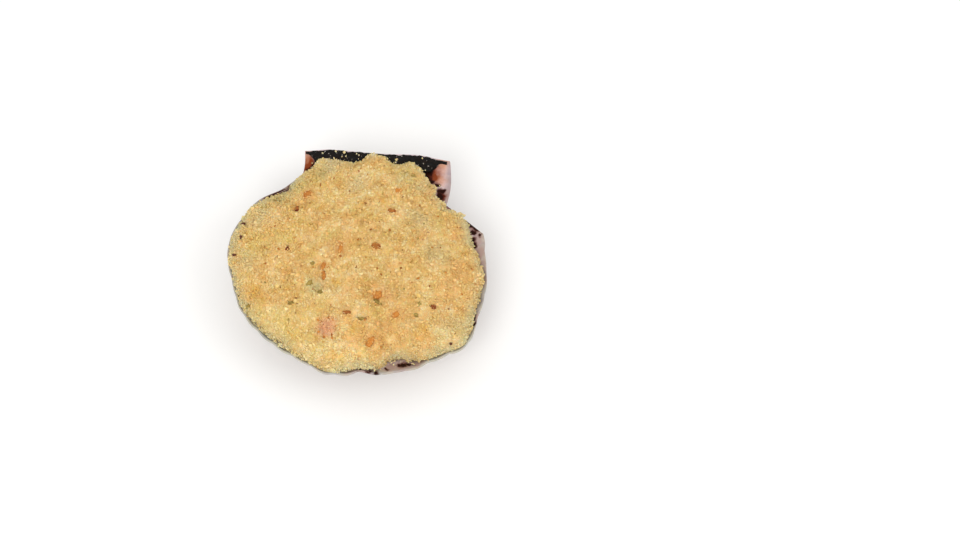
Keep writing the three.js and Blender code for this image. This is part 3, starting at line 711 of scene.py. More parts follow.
def crumb_measures(x, y, tone, warm, corners):
    """What the crumb material reads: each crumb's own tone and warmth and the tints of its place."""
    share = heap_share(x, y)
    wetness = DAMP_MEAN
    for much, size, seed in DAMP_UNEVEN:
        wetness = wetness + much * relief(x, y, size, seed)
    wetness = np.clip(wetness, 0.1, 1) * smoothstep(share, *DAMP_SHARES)
    at_edge = wetness * mix(1, DAMP_AT_HINGE, smoothstep(y, *DAMP_FADES))
    at_edge = np.where(share > DAMP_BEYOND, 1, at_edge)
    measures = {label: spots_at(x, y, patches) for label, patches in PATCHES.items()}
    measures["tone"] = tone
    measures["warm"] = warm + GOLD_WARMTH * measures.pop("gold") - STRAW_COOLNESS * measures.pop("straw")
    measures["damp"] = np.maximum(at_edge, DAMP_IN_PATCHES * measures["damp"])
    measures["juice"] = spots_at(x, y, [(bit[0], bit[1], JUICE_REACH * bit[2]) for bit in PEPPER_BITS])
    measures["blush"] = over_morsel(x, y)
    return {label: np.repeat(values, corners) for label, values in measures.items()}


# ---- Materials ----


def linear(hex_code):
    """Linear red, green and blue of an sRGB hex colour."""
    shares = [int(hex_code[i : i + 2], 16) / 255 for i in (0, 2, 4)]
    return tuple(s / 12.92 if s <= 0.04045 else ((s + 0.055) / 1.055) ** 2.4 for s in shares)


def opaque(colour):
    return (*colour, 1.0)


def add(tree, kind, sockets=None, output=0, **fields):
    """Adds a shader node, sets its fields, sets or links its inputs, and returns one of its outputs."""
    node = tree.nodes.new("ShaderNode" + kind)
    for field, value in fields.items():
        if field == "stops":
            stops = node.color_ramp.elements
            while len(stops) < len(value):
                stops.new(0.5)
            for stop, (position, colour) in zip(stops, value):
                stop.position, stop.color = position, opaque(colour)
        else:
            setattr(node, field, value)
    for name, value in (sockets or {}).items():
        socket = node.inputs[name]
        if isinstance(value, bpy.types.NodeSocket):
            tree.links.new(value, socket)
        else:
            socket.default_value = opaque(value) if socket.type == "RGBA" else value
    return node.outputs[output] if node.outputs else None


def ends(start, full, least=0.0, most=1.0):
    """Inputs of a Map Range: the numbers between which it reads, and what it gives at either end."""
    return {"From Min": start, "From Max": full, "To Min": least, "To Max": most}


def tint_over(tree, colour, tint, source, start, full, most=1.0):
    """Lays a tint over a colour, the more the further a number is from `start` to `full`."""
    share = add(tree, "MapRange", {"Value": source, **ends(start, full, 0.0, most)})
    return add(tree, "Mix", {0: share, 6: colour, 7: tint}, 2, data_type="RGBA")


def new_material(name):
    material = bpy.data.materials.new(name)
    material.use_nodes = True
    material.node_tree.nodes.clear()
    return material, material.node_tree


def shaded(material, look):
    """Ends a material with the shader that has this look."""
    shader = add(material.node_tree, "BsdfPrincipled", look)
    add(material.node_tree, "OutputMaterial", {"Surface": shader})
    return material


def colour_setting(name, description, hex_code):
    return FloatVectorProperty(
        name=name, description=description, subtype="COLOR", size=3, min=0, max=1, default=linear(hex_code)
    )


def count_setting(name, description, count):
    return IntProperty(name=name, description=description, min=0, default=count)


def length_setting(name, description, millimetres):
    return FloatProperty(
        name=name, description=description, unit="LENGTH", subtype="DISTANCE", min=0, default=millimetres * MM
    )


# ---- Shell ----


class ShellSettings(bpy.types.PropertyGroup):
    """Sizes and colours of the valve."""

    growth_step: length_setting("Growth step", "How far each halt in growth stands out", 0.2)
    growth_spacing: length_setting("Growth lines", "Distance between the fine growth lines", 0.8)
    riblet_height: length_setting("Ear riblets", "Height of the fine ribs on the ears", 0.25)
    # The grooves are darker than the crests partly because that is the shell's own colour and partly as
    # painted shade that shows the ribs.
    crest: colour_setting("Crests", "Top of the ribs", "cdbab0")
    groove: colour_setting("Grooves", "Between the ribs", "8f7a7c")
    purple: colour_setting("Purple-brown", "Bands and blotches of the outer face", "61403f")
    film: colour_setting("Film", "Greenish film that the sea leaves on the outer face", "84826c")
    porcelain: colour_setting("Porcelain", "Smooth inner face", "d6c3c4")
    peach: colour_setting("Peach stain", "Warm flush inside the ears", "c98a62")
    mauve: colour_setting("Mauve stain", "Dull mauve-brown flush of the rim", "a1857c")
    russet: colour_setting("Russet stain", "Brown-red stains inside the ears", "7e3714")
    maroon: colour_setting("Maroon stain", "Edge of the darkest spots", "4a1c12")
    dark: colour_setting("Dark stain", "Darkest spots on the rim and ears", "240e08")
    wet: colour_setting("Wet edge", "Grey-green film on the wet margin", "b1ae9b")
    wet_blue: colour_setting("Blue wet edge", "The same film where it is thin", "8c9095")


def valve_columns():
    """Directions of the fan from the left end of the hinge to the right one, and their place among the ribs.

    Ribs count from 0 to RIB_COUNT across the disc, and on over the riblets of either ear."""
    ear = np.linspace(0, 1, EAR_COLUMNS, endpoint=False)
    left = -mix(math.pi / 2, NOTCH[-1], ear**1.3)
    right = mix(math.pi / 2, NOTCH[1], ear**1.3)[::-1]
    disc = np.linspace(-NOTCH[-1], NOTCH[1], RIB_COUNT * COLUMNS_PER_RIB + 1)
    rib_on_disc = np.linspace(0, RIB_COUNT, len(disc))
    rib = [-EAR_RIBLETS * (1 - ear), rib_on_disc, RIB_COUNT + EAR_RIBLETS * (1 - ear[::-1])]
    return np.concatenate([left, disc, right]), np.concatenate(rib)


def growth_relief(fan, along, step):
    """Halts in growth stand out as low, uneven ridges that follow the margin."""
    total = np.zeros(np.broadcast(fan, along).shape)
    for number, halt in enumerate(GROWTH_HALTS):
        uneven = GROWTH_WAVER * relief(40 * fan, 0 * fan, 2.0, 50 + number)
        behind = (halt + uneven - along) / GROWTH_FADE
        total += step * np.where(behind > 0, np.exp(-behind), np.exp(-((behind / GROWTH_FRONT) ** 2)))
    return total


def valve_measures(points, along, rib, crest, reach, inside):
    """What the shell's material reads at each point. Stains fade on the outer face, away from the margin."""
    x, y = points[..., 0], points[..., 1]
    angle, _ = around_disc(x, y)
    wet = sum(np.exp(-((np.degrees(angle) - at) ** 2) / spread**2) for at, spread in WET_EDGE)
    from_margin = (1 - along) * reach
    on_disc = (rib >= 0) & (rib <= RIB_COUNT)
    shown = np.where(np.asarray(inside) > 0, 1, 1 - smoothstep(from_margin, 0.5, 3.0))
    return {
        "growth": along * reach,
        "rib": rib,
        "crest": crest,
        "inside": inside,
        "from_margin": from_margin,
        "wet": np.where(on_disc, np.clip(WET_EVERYWHERE + wet, 0, 1), 0),
        **{label: shown * spots_at(x, y, spots) for label, spots in STAINS.items()},
    }


def valve_skin(settings):
    fan, rib = valve_columns()
    reach = margin_reach(fan)
    on_disc = (rib >= 0) & (rib <= RIB_COUNT)
    wave = 0.5 - 0.5 * np.cos(2 * math.pi * rib)
    crest = np.where(on_disc, wave**RIB_ROUNDNESS, 0)
    riblet = np.where(on_disc, 0, wave) * settings.riblet_height / MM
    skin = Skin()

    def sheet(points, along, inside):
        return skin.add(points, **valve_measures(points, along, rib, crest + riblet, reach, inside))

    along = OUTER_ROWS[:, None]
    grown = growth_relief(fan, along, settings.growth_step / MM)
    fade = smoothstep(along, 0.05, 0.3)
    outer = outer_face(fan, along, crest, reach, fade * (grown + riblet))
    inner = inner_face(fan, INNER_ROWS[:, None], crest, reach)
    outward = np.stack([np.sin(fan), -np.cos(fan), 0 * fan], axis=-1)
    lip = []
    for step in range(1, LIP_STEPS):
        turn = math.pi * step / LIP_STEPS
        between = mix(outer[-1], inner[-1], 0.5 - 0.5 * math.cos(turn))
        lip.append(between + LIP_ROUND * math.sin(turn) * outward)
    lip_share = (np.arange(1, LIP_STEPS) / LIP_STEPS)[:, None]
    outer_numbers = sheet(outer, along, 0)
    lip_numbers = sheet(np.stack(lip), np.ones((LIP_STEPS - 1, 1)), lip_share)
    inner_numbers = sheet(inner[::-1], INNER_ROWS[::-1, None], 1)
    skin.quilt(np.concatenate([outer_numbers, lip_numbers, inner_numbers])[:, ::-1])

    unmarked = dict.fromkeys(("growth", "crest", "wet", *STAINS), 0)
    umbo = {"rib": RIB_COUNT / 2, "from_margin": UMBO_TO_MARGIN, **unmarked}
    outer_umbo = skin.add(outer_face(0.0, 0.0, 0.0, 1.0, 0.0), inside=0, **umbo)
    inner_umbo = skin.add(inner_face(0.0, 0.0, 0.0, 1.0), inside=1, **umbo)
    skin.strip(outer_numbers[0], np.array([outer_umbo]))
    skin.strip(inner_numbers[-1][::-1], np.array([inner_umbo]))
    for column, turn in ((0, 1), (-1, -1)):
        under = np.concatenate([[outer_umbo], outer_numbers[:, column], lip_numbers[:, column]])
        over = np.concatenate([[inner_umbo], inner_numbers[::-1, column], lip_numbers[-1:, column]])
        first, second = (under, over)[::turn]
        skin.strip(first, second)
    return skin


def grown_valve_material(settings):
    """Shell, grown in layers of calcite: chalky and ribbed outside, smooth as porcelain and glossier inside.

    The eye sees pale ribs over darker grooves, purple-brown bands and blotches, growth lines, a greenish film
    that the sea left, and a stained rim."""
    material, tree = new_material("scallop_shell_grown")
    labels = ("growth", "rib", "crest", "inside", "from_margin", "wet", *STAINS)
    read = {label: add(tree, "Attribute", output="Fac", attribute_name=label) for label in labels}
    place = add(tree, "TexCoord", output="Object")
    unrolled = add(tree, "CombineXYZ", {0: read["growth"], 1: read["rib"]})
    noise = {}
    # Noise over the unrolled valve: the millimetres of growth and the ribs between its patches, its detail
    # and its roughness.
    for label, growth_span, rib_span, detail, roughness in (
        ("bands", 6, 12, 3.0, 0.55),
        ("blotches", 3.2, 1.1, 4.0, 0.65),
        ("lines", settings.growth_spacing / MM, 5, 3.0, 0.7),
        ("rays", 40, 0.8, 2.0, 0.5),
    ):
        spans = (1 / growth_span, 1 / rib_span, 1)
        at = add(tree, "VectorMath", {0: unrolled, 1: spans}, operation="MULTIPLY")
        grain = {"Scale": 1, "Detail": detail, "Roughness": roughness}
        noise[label] = add(tree, "TexNoise", {"Vector": at, **grain})
    # Noise in space: the millimetres between its patches, and its detail.
    for label, size, detail in (("film", 14, 5.0), ("breakup", 1.1, 4.0)):
        grain = {"Scale": 1 / (size * MM), "Detail": detail, "Roughness": 0.65}
        noise[label] = add(tree, "TexNoise", {"Vector": place, **grain})

    # Outer face: each layer of colour covers the last where its noise passes a cut.
    # Pale crests over darker grooves: partly the shell's own colour, partly painted shade in the grooves
    # between the ribs.
    ragged = add(tree, "Math", {0: noise["rays"], 1: 0.9, 2: read["crest"]}, operation="MULTIPLY_ADD")
    outside = tint_over(tree, settings.groove, settings.crest, ragged, 0.55, 1.35)
    for label, tint, start, full, most in (
        ("bands", settings.purple, 0.5, 0.66, 0.6),
        ("blotches", settings.purple, 0.56, 0.66, 0.8),
        ("lines", settings.purple, 0.5, 0.72, 0.45),
        ("film", settings.film, 0.48, 0.7, 0.6),
    ):
        outside = tint_over(tree, outside, tint, noise[label], start, full, most)

    # The inner face is plain, and takes the outer colours over the last millimetres before the margin.
    fade = {"Value": read["from_margin"], **ends(0.3, 3.5, 0.75, 0.0)}
    near_margin = add(tree, "MapRange", fade, interpolation_type="SMOOTHSTEP")
    within = add(tree, "Mix", {0: near_margin, 6: settings.porcelain, 7: outside}, 2, data_type="RGBA")
    colour = add(tree, "Mix", {0: read["inside"], 6: outside, 7: within}, 2, data_type="RGBA")

    # The wet film lies on the lip, and thins out down the outer side and across the rim. It is thinner in
    # patches, and turns blue-grey in blotches.
    fade = {"Value": read["from_margin"], **ends(0.8, 5.0, 0.95, 0.0)}
    film = add(tree, "MapRange", fade, interpolation_type="SMOOTHSTEP")
    patchy = add(tree, "MapRange", {"Value": noise["film"], **ends(0.35, 0.55, 0.7)})
    for factor in (patchy, read["wet"]):
        film = add(tree, "Math", {0: film, 1: factor}, operation="MULTIPLY")
    film_tint = tint_over(tree, settings.wet, settings.wet_blue, noise["blotches"], 0.5, 0.66, 0.8)
    colour = add(tree, "Mix", {0: film, 6: colour, 7: film_tint}, 2, data_type="RGBA")

    # Stains have ragged edges: noise is added before the cut.
    for label, tint, raggedness, start, full, most in (
        ("peach", settings.peach, 0.3, 0.25, 1.05, 0.85),
        ("mauve", settings.mauve, 0.5, 0.35, 1.05, 0.85),
        ("russet", settings.russet, 0.4, 0.3, 0.95, 0.97),
        ("stain", settings.maroon, 0.8, 0.5, 0.9, 0.93),
        ("stain", settings.dark, 0.8, 0.85, 1.1, 0.97),
    ):
        inputs = {0: noise["breakup"], 1: raggedness, 2: read[label]}
        ragged = add(tree, "Math", inputs, operation="MULTIPLY_ADD")
        colour = tint_over(tree, colour, tint, ragged, start, full, most)

    # Stains are crusts: they shine less than the bare shell.
    crusted = add(tree, "Math", {0: read["stain"], 1: read["russet"]}, operation="MAXIMUM")
    shine = add(tree, "MapRange", {"Value": crusted, **ends(0.1, 0.6, 0.4, 0.03)})
    roughness = add(tree, "MapRange", {"Value": read["inside"], **ends(0.0, 1.0, 0.62, 0.3)})
    line_bump = add(tree, "Bump", {"Strength": 0.7, "Distance": 0.22 * MM, "Height": noise["lines"]})
    pits = {"Strength": 0.4, "Distance": 0.12 * MM, "Height": noise["breakup"], "Normal": line_bump}
    look = {
        "Base Color": colour,
        "Roughness": roughness,
        "IOR": 1.53,
        "Specular IOR Level": shine,
        "Normal": add(tree, "Bump", pits),
        "Subsurface Weight": 0.06,
        "Subsurface Scale": 0.8 * MM,
    }
    return shaded(material, look)


class SCALLOP_OT_shell(bpy.types.Operator):
    """Makes the valve with its ribs, ears and growth lines"""

    bl_idname = "scallop.shell"
    bl_label = "Make the shell"

    def execute(self, context):
        settings = context.scene.scallop_shell
        piece = valve_skin(settings).piece("half_shell", "shell", grown_valve_material(settings))
        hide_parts("shell")
        return {"FINISHED"}


# ---- Ligament ----


class LigamentSettings(bpy.types.PropertyGroup):
    """Sizes and colours of the hinge's ligament."""

    lamella: length_setting("Lamella", "Width of its lengthwise layers", 0.45)
    raggedness: length_setting("Raggedness", "How uneven its edges are", 0.35)
    fibre_height: length_setting("Fibre height", "Height of its lengthwise layers", 0.12)
    black: colour_setting("Black", "Main colour", "0b0908")
    brown: colour_setting("Brown", "Dry edges of its layers", "35261c")
    # The pale flecks are partly chalky flakes of shell and partly painted highlights that stand for the
    # strip's glints.
    fleck_and_glint: colour_setting("Flecks", "Chalky flakes of shell stuck to it", "a9a298")


def ligament_skin(settings):
    x = np.linspace(-1, 1, LIGAMENT_STEPS + 1)[:, None] * LIGAMENT_HALF
    width, thick = ligament_shape(x)
    share = np.linspace(0, 1, LIGAMENT_LINES)[None]
    ragged = settings.raggedness / MM * np.minimum(1, width / 2)
    start = LIGAMENT_START + 0.5 * ragged * relief(x, 0 * x, 0.8, 35)
    torn = relief(x, 0 * x, 1.1, 36) + 0.5 * relief(x, 0 * x, 0.5, 37)
    end = LIGAMENT_START + width + ragged * torn
    away = mix(start, end, share)
    crown = np.sin(math.pi * (0.08 + 0.84 * share)) ** 0.6
    layers = settings.fibre_height / MM * relief(away / (settings.lamella / MM) * 3, x, 3.0, 31)
    nicks = sum(height * relief(x, away, size, seed) for height, size, seed in LIGAMENT_NICKS)
    top = hinge_ledge(x, away) + LIGAMENT_LIFT + thick * crown + crown * (layers + nicks)
    bottom = hinge_ledge(x, away) + LIGAMENT_GAP
    skin = Skin()
    spread = np.broadcast_to(x, away.shape)
    over = skin.add(np.stack([spread, -away, top], axis=-1))
    under = skin.add(np.stack([spread, -away, bottom], axis=-1))
    skin.quilt(over[:, ::-1])
    skin.quilt(under)
    skin.quilt(np.stack([over[:, 0], under[:, 0]], axis=1))
    skin.quilt(np.stack([under[:, -1], over[:, -1]], axis=1))
    skin.quilt(np.stack([under[0], over[0]]))
    skin.quilt(np.stack([over[-1], under[-1]]))
    return skin


FIBRES_PER_METRE = (300.0, 2200.0, 2200.0)  # 3.3 mm long, along the hinge, and 0.45 mm wide


def dried_ligament_material(settings):
    """Conchiolin, a horny protein laid down in layers and dried to a porous crust.

    The eye sees a black, matt strip with brown edges to its fibres and a few pale flecks: partly chalky
    flakes of shell, partly painted highlights that stand for its glints."""
    material, tree = new_material("conchiolin_ligament_dried")
    place = add(tree, "TexCoord", output="Object")
    stretched = add(tree, "VectorMath", {0: place, 1: FIBRES_PER_METRE}, operation="MULTIPLY")
    fibres = add(tree, "TexNoise", {"Vector": stretched, "Scale": 1.0, "Detail": 4.0, "Roughness": 0.6})
    grain = {"Scale": 1 / (1.2 * MM), "Detail": 3.0, "Roughness": 0.6}
    flakes = add(tree, "TexNoise", {"Vector": place, **grain})
    colour = tint_over(tree, settings.black, settings.brown, fibres, 0.55, 0.75, 0.7)
    # Pale flecks: partly flakes of shell, partly painted highlights that stand for glints.
    colour = tint_over(tree, colour, settings.fleck_and_glint, flakes, 0.62, 0.67, 0.8)
    look = {
        "Base Color": colour,
        "Roughness": add(tree, "MapRange", {"Value": fibres, **ends(0.3, 0.7, 0.4, 0.8)}),
        "IOR": 1.54,
        "Specular IOR Level": 0.12,
        "Normal": add(tree, "Bump", {"Strength": 0.6, "Distance": 0.15 * MM, "Height": fibres}),
    }
    return shaded(material, look)


class SCALLOP_OT_ligament(bpy.types.Operator):
    """Makes the dark ligament along the hinge"""

    bl_idname = "scallop.ligament"
    bl_label = "Make the ligament"

    def execute(self, context):
        settings = context.scene.scallop_ligament
        piece = ligament_skin(settings).piece("hinge_strip", "ligament", dried_ligament_material(settings))
        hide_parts("hinge_ligament")
        return {"FINISHED"}


# ---- Crumbs ----


class CrumbSettings(bpy.types.PropertyGroup):
    """Counts, sizes and colours of the breadcrumbs."""

    dust_count: count_setting("Dust", "How many of the finest crumbs", 14500)
    fine_count: count_setting("Fine crumbs", "How many of each of the two kinds", 7500)
    middle_count: count_setting("Middling crumbs", "How many", 4000)
    coarse_count: count_setting("Coarse crumbs", "How many", 260)
    toasted_count: count_setting("Toasted crumbs", "How many", 600)
    clump_count: count_setting("Clumps", "How many clumps of crumbs stuck together", 520)
    edge_clump_count: count_setting("Edge clumps", "How many clumps along the edge", 400)
    rim_count: count_setting("Crumbs on the rim", "How many small ones along the edge", 4200)
    stray_count: count_setting("Stray crumbs", "How many lie beyond the edge", 120)
    rim_size: length_setting("Rim size", "Middle size of the crumbs on the rim", 0.5)
    dust_size: length_setting("Dust size", "Middle size of the finest crumbs", 0.42)
    fine_size: length_setting("Fine size", "Middle size of the fine crumbs", 0.66)
    middle_size: length_setting("Middling size", "Middle size of the middling crumbs", 0.98)
    coarse_size: length_setting("Coarse size", "Middle size of the coarse crumbs", 1.25)
    cream: colour_setting("Cream", "Palest crumbs", "f9e8bf")
    pale: colour_setting("Pale", "Pale crumbs", "f4d9a0")
    golden: colour_setting("Golden", "Most crumbs", "e9c17c")
    honey: colour_setting("Honey", "Deeper golden crumbs", "daac61")
    toasted: colour_setting("Toasted", "Browned crumbs", "c58f4a")
    scorched: colour_setting("Scorched", "Darkest crumbs", "93632f")
    peach: colour_setting("Peach", "Warmer crumbs", "e8b272")
    straw: colour_setting("Straw", "Greener crumbs", "dec16c")
    blush: colour_setting("Blush", "Crumbs soaked pink by the morsel under them", "de9578")
    juice: colour_setting("Pepper juice", "Crumbs soaked orange by the pepper", "dd9650")
    amber: colour_setting("Amber", "Crumbs browned in the hottest places", "dfad52")
    herb: colour_setting("Herb", "Crumbs tinted by the parsley", "b5a768")
    damp: colour_setting("Damp", "Crumbs at the edge that took up juice and stayed pale", "cdc195")


CORE_RINGS = 108
FLOOR_SHARES = [0.99, 0.95, 0.88, 0.75, 0.55, 0.3]
FLOOR_GAP = 0.12
CLUMP_GRAINS = 9
CLUMP_STEEPNESS = 0.55  # 1 makes each clump half a ball
# Tints that the crumbs take from their place, and how strong each is at most.
CRUMB_TINTS = {"herb": 0.5, "amber": 0.75, "juice": 0.4, "blush": 0.62, "damp": 0.68}


def heap_core():
    """The heap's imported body: a lattice of rings on top, and a plain floor just above the shell."""
    skin = Skin()

    def ring(count, share, height):
        angle = np.linspace(-math.pi, math.pi, count, endpoint=False)
        reach = share * np.interp(angle, ANGLES, HEAP_REACH)
        x, y = from_disc(angle, reach)
        points = np.stack([x, y, height(x, y)], axis=-1)
        tone, warm = 0.4 + 0.3 * relief(x, y, 0.8, 41), 0.3 * relief(x, y, 1.1, 42)
        numbers = skin.add(points, **crumb_measures(x, y, tone, warm, 1))
        return np.append(numbers, numbers[0])

    def floor_height(x, y):
        return inner_height(x, y) + FLOOR_GAP

    rings = [ring(6 * k, k / CORE_RINGS, heap_top) for k in range(1, CORE_RINGS + 1)]
    middle = ring(1, 0, heap_top)[:1]
    skin.strip(rings[0], middle)
    for inner, outer in zip(rings, rings[1:]):
        skin.strip(outer, inner)
    floor = [ring(6 * max(6, round(CORE_RINGS * share**3)), share, floor_height) for share in FLOOR_SHARES]
    skin.strip(floor[0], rings[-1])
    for outer, inner in zip(floor, floor[1:]):
        skin.strip(inner, outer)
    skin.strip(ring(1, 0, floor_height)[:1], floor[-1])
    return skin


def baked_breadcrumb_material(settings, name):
    """White bread, dried, grated, buttered and baked under a grill: matt, porous and a little translucent.

    The eye sees mottled straw, cream and gold, browner where a crumb stood proud, and soft light within."""
    material, tree = new_material(name)
    labels = ("tone", "warm", "pale", *CRUMB_TINTS)
    read = {label: add(tree, "Attribute", output="Fac", attribute_name=label) for label in labels}
    place = add(tree, "TexCoord", output="Object")
    noise = {}
    # Each kind of noise: the millimetres between its patches, its detail and its roughness.
    for label, size, detail, roughness in (
        ("broad", 14, 2.0, 0.5),
        ("patches", 5, 2.0, 0.5),
        ("clumps", 2.4, 3.0, 0.5),
        ("warmth", 6, 4.0, 0.6),
        ("pores", 0.3, 3.0, 0.7),
    ):
        grain = {"Scale": 1 / (size * MM), "Detail": detail, "Roughness": roughness}
        noise[label] = add(tree, "TexNoise", {"Vector": place, **grain})

    # One number from scorched to cream: mottling at three scales, the crumb's own tone, and pale places.
    level = 0.0
    for source, weight in (
        (noise["broad"], 0.6),
        (noise["patches"], 0.7),
        (noise["clumps"], 0.55),
        (read["tone"], 0.4),
        (read["pale"], 0.16),
    ):
        level = add(tree, "Math", {0: source, 1: weight, 2: level}, operation="MULTIPLY_ADD")
    share = add(tree, "MapRange", {"Value": level, **ends(0.6, 1.65)})
    stops = [
        (0.0, settings.scorched),
        (0.12, settings.toasted),
        (0.3, settings.honey),
        (0.52, settings.golden),
        (0.76, settings.pale),
        (1.0, settings.cream),
    ]
    colour = add(tree, "ValToRGB", {"Fac": share}, stops=stops)

    # Warmth runs from straw to peach, both in patches and from crumb to crumb.
    warmth = add(tree, "Math", {0: noise["warmth"], 1: 1.6, 2: read["warm"]}, operation="MULTIPLY_ADD")
    colour = tint_over(tree, colour, settings.peach, warmth, 0.8, 1.3, 0.5)
    colour = tint_over(tree, colour, settings.straw, warmth, 0.8, 0.3, 0.6)
    for label, strength in CRUMB_TINTS.items():
        share = add(tree, "Math", {0: read[label], 1: strength}, operation="MULTIPLY")
        tint = getattr(settings, label)
        colour = add(tree, "Mix", {0: share, 6: colour, 7: tint}, 2, data_type="RGBA")
    look = {
        "Base Color": colour,
        "Roughness": add(tree, "MapRange", {"Value": noise["clumps"], **ends(0.3, 0.7, 0.6, 0.85)}),
        "IOR": 1.45,
        "Normal": add(tree, "Bump", {"Strength": 0.4, "Distance": 0.1 * MM, "Height": noise["pores"]}),
        "Subsurface Weight": 0.5,
        "Subsurface Radius": (1.0, 0.62, 0.3),
        "Subsurface Scale": 1.0 * MM,
    }
    return shaded(material, look)


def crumb_sizes(middle, count, stream):
    return middle * np.clip(stream.lognormal(0, 0.28, count), 0.5, 1.9)


def crumb_piece(name, material, ball, centres, sizes, tone, stream, smooth=False):
    """Crumbs of one kind in one mesh, each with its own place, size, shape, turn, tone and warmth."""
    stretches = sizes[:, None] * stream.uniform((0.85, 0.6, 0.5), (1.2, 1.0, 0.75), (len(sizes), 3))
    points, faces = ragged_copies(ball, centres, stretches, random_turns(len(sizes), stream), 0.25, stream)
    warm = stream.normal(0, 0.16, len(sizes))
    measures = crumb_measures(*centres.T[:2], tone, warm, len(ball[0]))
    return make_piece(name, material, points, faces, measures, smooth)


def lay_crumbs(places, sizes, lift, stream):
    """Middles of crumbs that lie on the ground; `lift` is how far up they sit, as shares of their size."""
    x, y = places.T
    return np.stack([x, y, ground_height(x, y) + sizes * stream.uniform(*lift, len(sizes))], axis=-1)


def lay_clumps(places, radii, stream):
    """Middles of grains that are stuck together in domes, and the number of the clump each belongs to."""
    clump = np.repeat(np.arange(len(places)), CLUMP_GRAINS)
    out = radii[clump] * np.sqrt(stream.uniform(0, 1, len(clump)))
    turn = stream.uniform(-math.pi, math.pi, len(clump))
    x = places[clump, 0] + out * np.cos(turn)
    y = places[clump, 1] + out * np.sin(turn)
    base = ground_height(*places.T)[clump]
    dome = np.sqrt(np.maximum(0, radii[clump] ** 2 - out**2))
    return np.stack([x, y, base + CLUMP_STEEPNESS * dome], axis=-1), clump


def places_at_edge(count, stream, spread, sizes):
    """Places near the heap's edge, along the rim, the ears and the ligament, for things of given sizes."""
    angle = stream.uniform(-math.pi, math.pi, 3 * count)
    towards_hinge = smoothstep(np.sin(angle), 0.55, 0.8)
    angle = angle[stream.uniform(0, 1, len(angle)) < mix(0.5, 1, towards_hinge)][:count]
    over_disc = disc_radius(angle) - RIM_SPILL - swell_at(angle, RIM_BARE_MORE)
    over_disc = over_disc + swell_at(angle, RIM_SPILL_MORE)
    edge = np.maximum(over_disc, np.interp(angle, ANGLES, HEAP_REACH) + NECK_SPILL)
    reach = edge - sizes / 2 - spread * stream.uniform(0, 1, count)
    return np.stack(from_disc(angle, reach), axis=-1)


def places_strayed(count, stream, furthest):
    """Places on the ears, the ligament and the widest bare rim, most of them near the heap."""
    stretch = np.where(stream.uniform(0, 1, count) < STRAYS_AT_RIM, 0, 1)
    least, most = (np.radians(np.array(ends))[stretch] for ends in zip(*STRAY_STRETCHES))
    angle = mix(least, most, stream.uniform(0, 1, count))
    reach = np.interp(angle, ANGLES, HEAP_REACH) + furthest * stream.uniform(0, 1, count) ** STRAYS_CROWD
    x, y = from_disc(angle, reach)
    on_valve = (y < -0.8) & (np.hypot(x, y) < margin_reach(np.arctan2(x, -y)) - 0.5)
    return np.stack([x, y], axis=-1)[on_valve]


class SCALLOP_OT_heap(bpy.types.Operator):
    """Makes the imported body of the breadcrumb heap"""

    bl_idname = "scallop.heap"
    bl_label = "Make the heap"

    def execute(self, context):
        settings = context.scene.scallop_crumbs
        material = baked_breadcrumb_material(settings, "breadcrumb_packed_baked")
        piece = heap_core().piece("crumb_heap", "crumbs", material)
        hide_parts("crumb_filling")
        return {"FINISHED"}


class SCALLOP_OT_loose_crumbs(bpy.types.Operator):
    """Scatters dust and fine, middling, coarse and toasted crumbs over the heap"""

    bl_idname = "scallop.loose_crumbs"
    bl_label = "Scatter the loose crumbs"

    def execute(self, context):
        settings = context.scene.scallop_crumbs
        material = baked_breadcrumb_material(settings, "breadcrumb_grated_baked")
        stream = np.random.default_rng(11)
        octa, plain, fine = octahedron(), icosphere(1), icosphere(2)
        dusty, small = settings.dust_size, settings.fine_size
        middling, coarse = settings.middle_size, settings.coarse_size
        # Each kind: name, count, size, tones from dark to pale, how far up it sits, and its ball.
        kinds = [
            ("crumbs_dust", settings.dust_count, dusty, (0.25, 0.85), (0.0, 0.6), octa),
            ("crumbs_fine_pale", settings.fine_count, small, (0.45, 1.0), (-0.15, 0.35), plain),
            ("crumbs_fine_golden", settings.fine_count, small, (0.15, 0.6), (-0.15, 0.35), plain),
            ("crumbs_middling", settings.middle_count, middling, (0.2, 0.9), (-0.25, 0.25), plain),
            ("crumbs_coarse", settings.coarse_count, coarse, (0.2, 0.6), (-0.3, 0.0), fine),
            ("crumbs_toasted", settings.toasted_count, small, (-0.9, -0.1), (-0.1, 0.35), plain),
        ]
        for name, count, size, tones, lift, ball in kinds:
            places = places_on_heap(count, stream, 0.995)
            sizes = crumb_sizes(size / MM, count, stream)
            centres = lay_crumbs(places, sizes, lift, stream)
            crumb_piece(name, material, ball, centres, sizes, stream.uniform(*tones, count), stream)
        return {"FINISHED"}


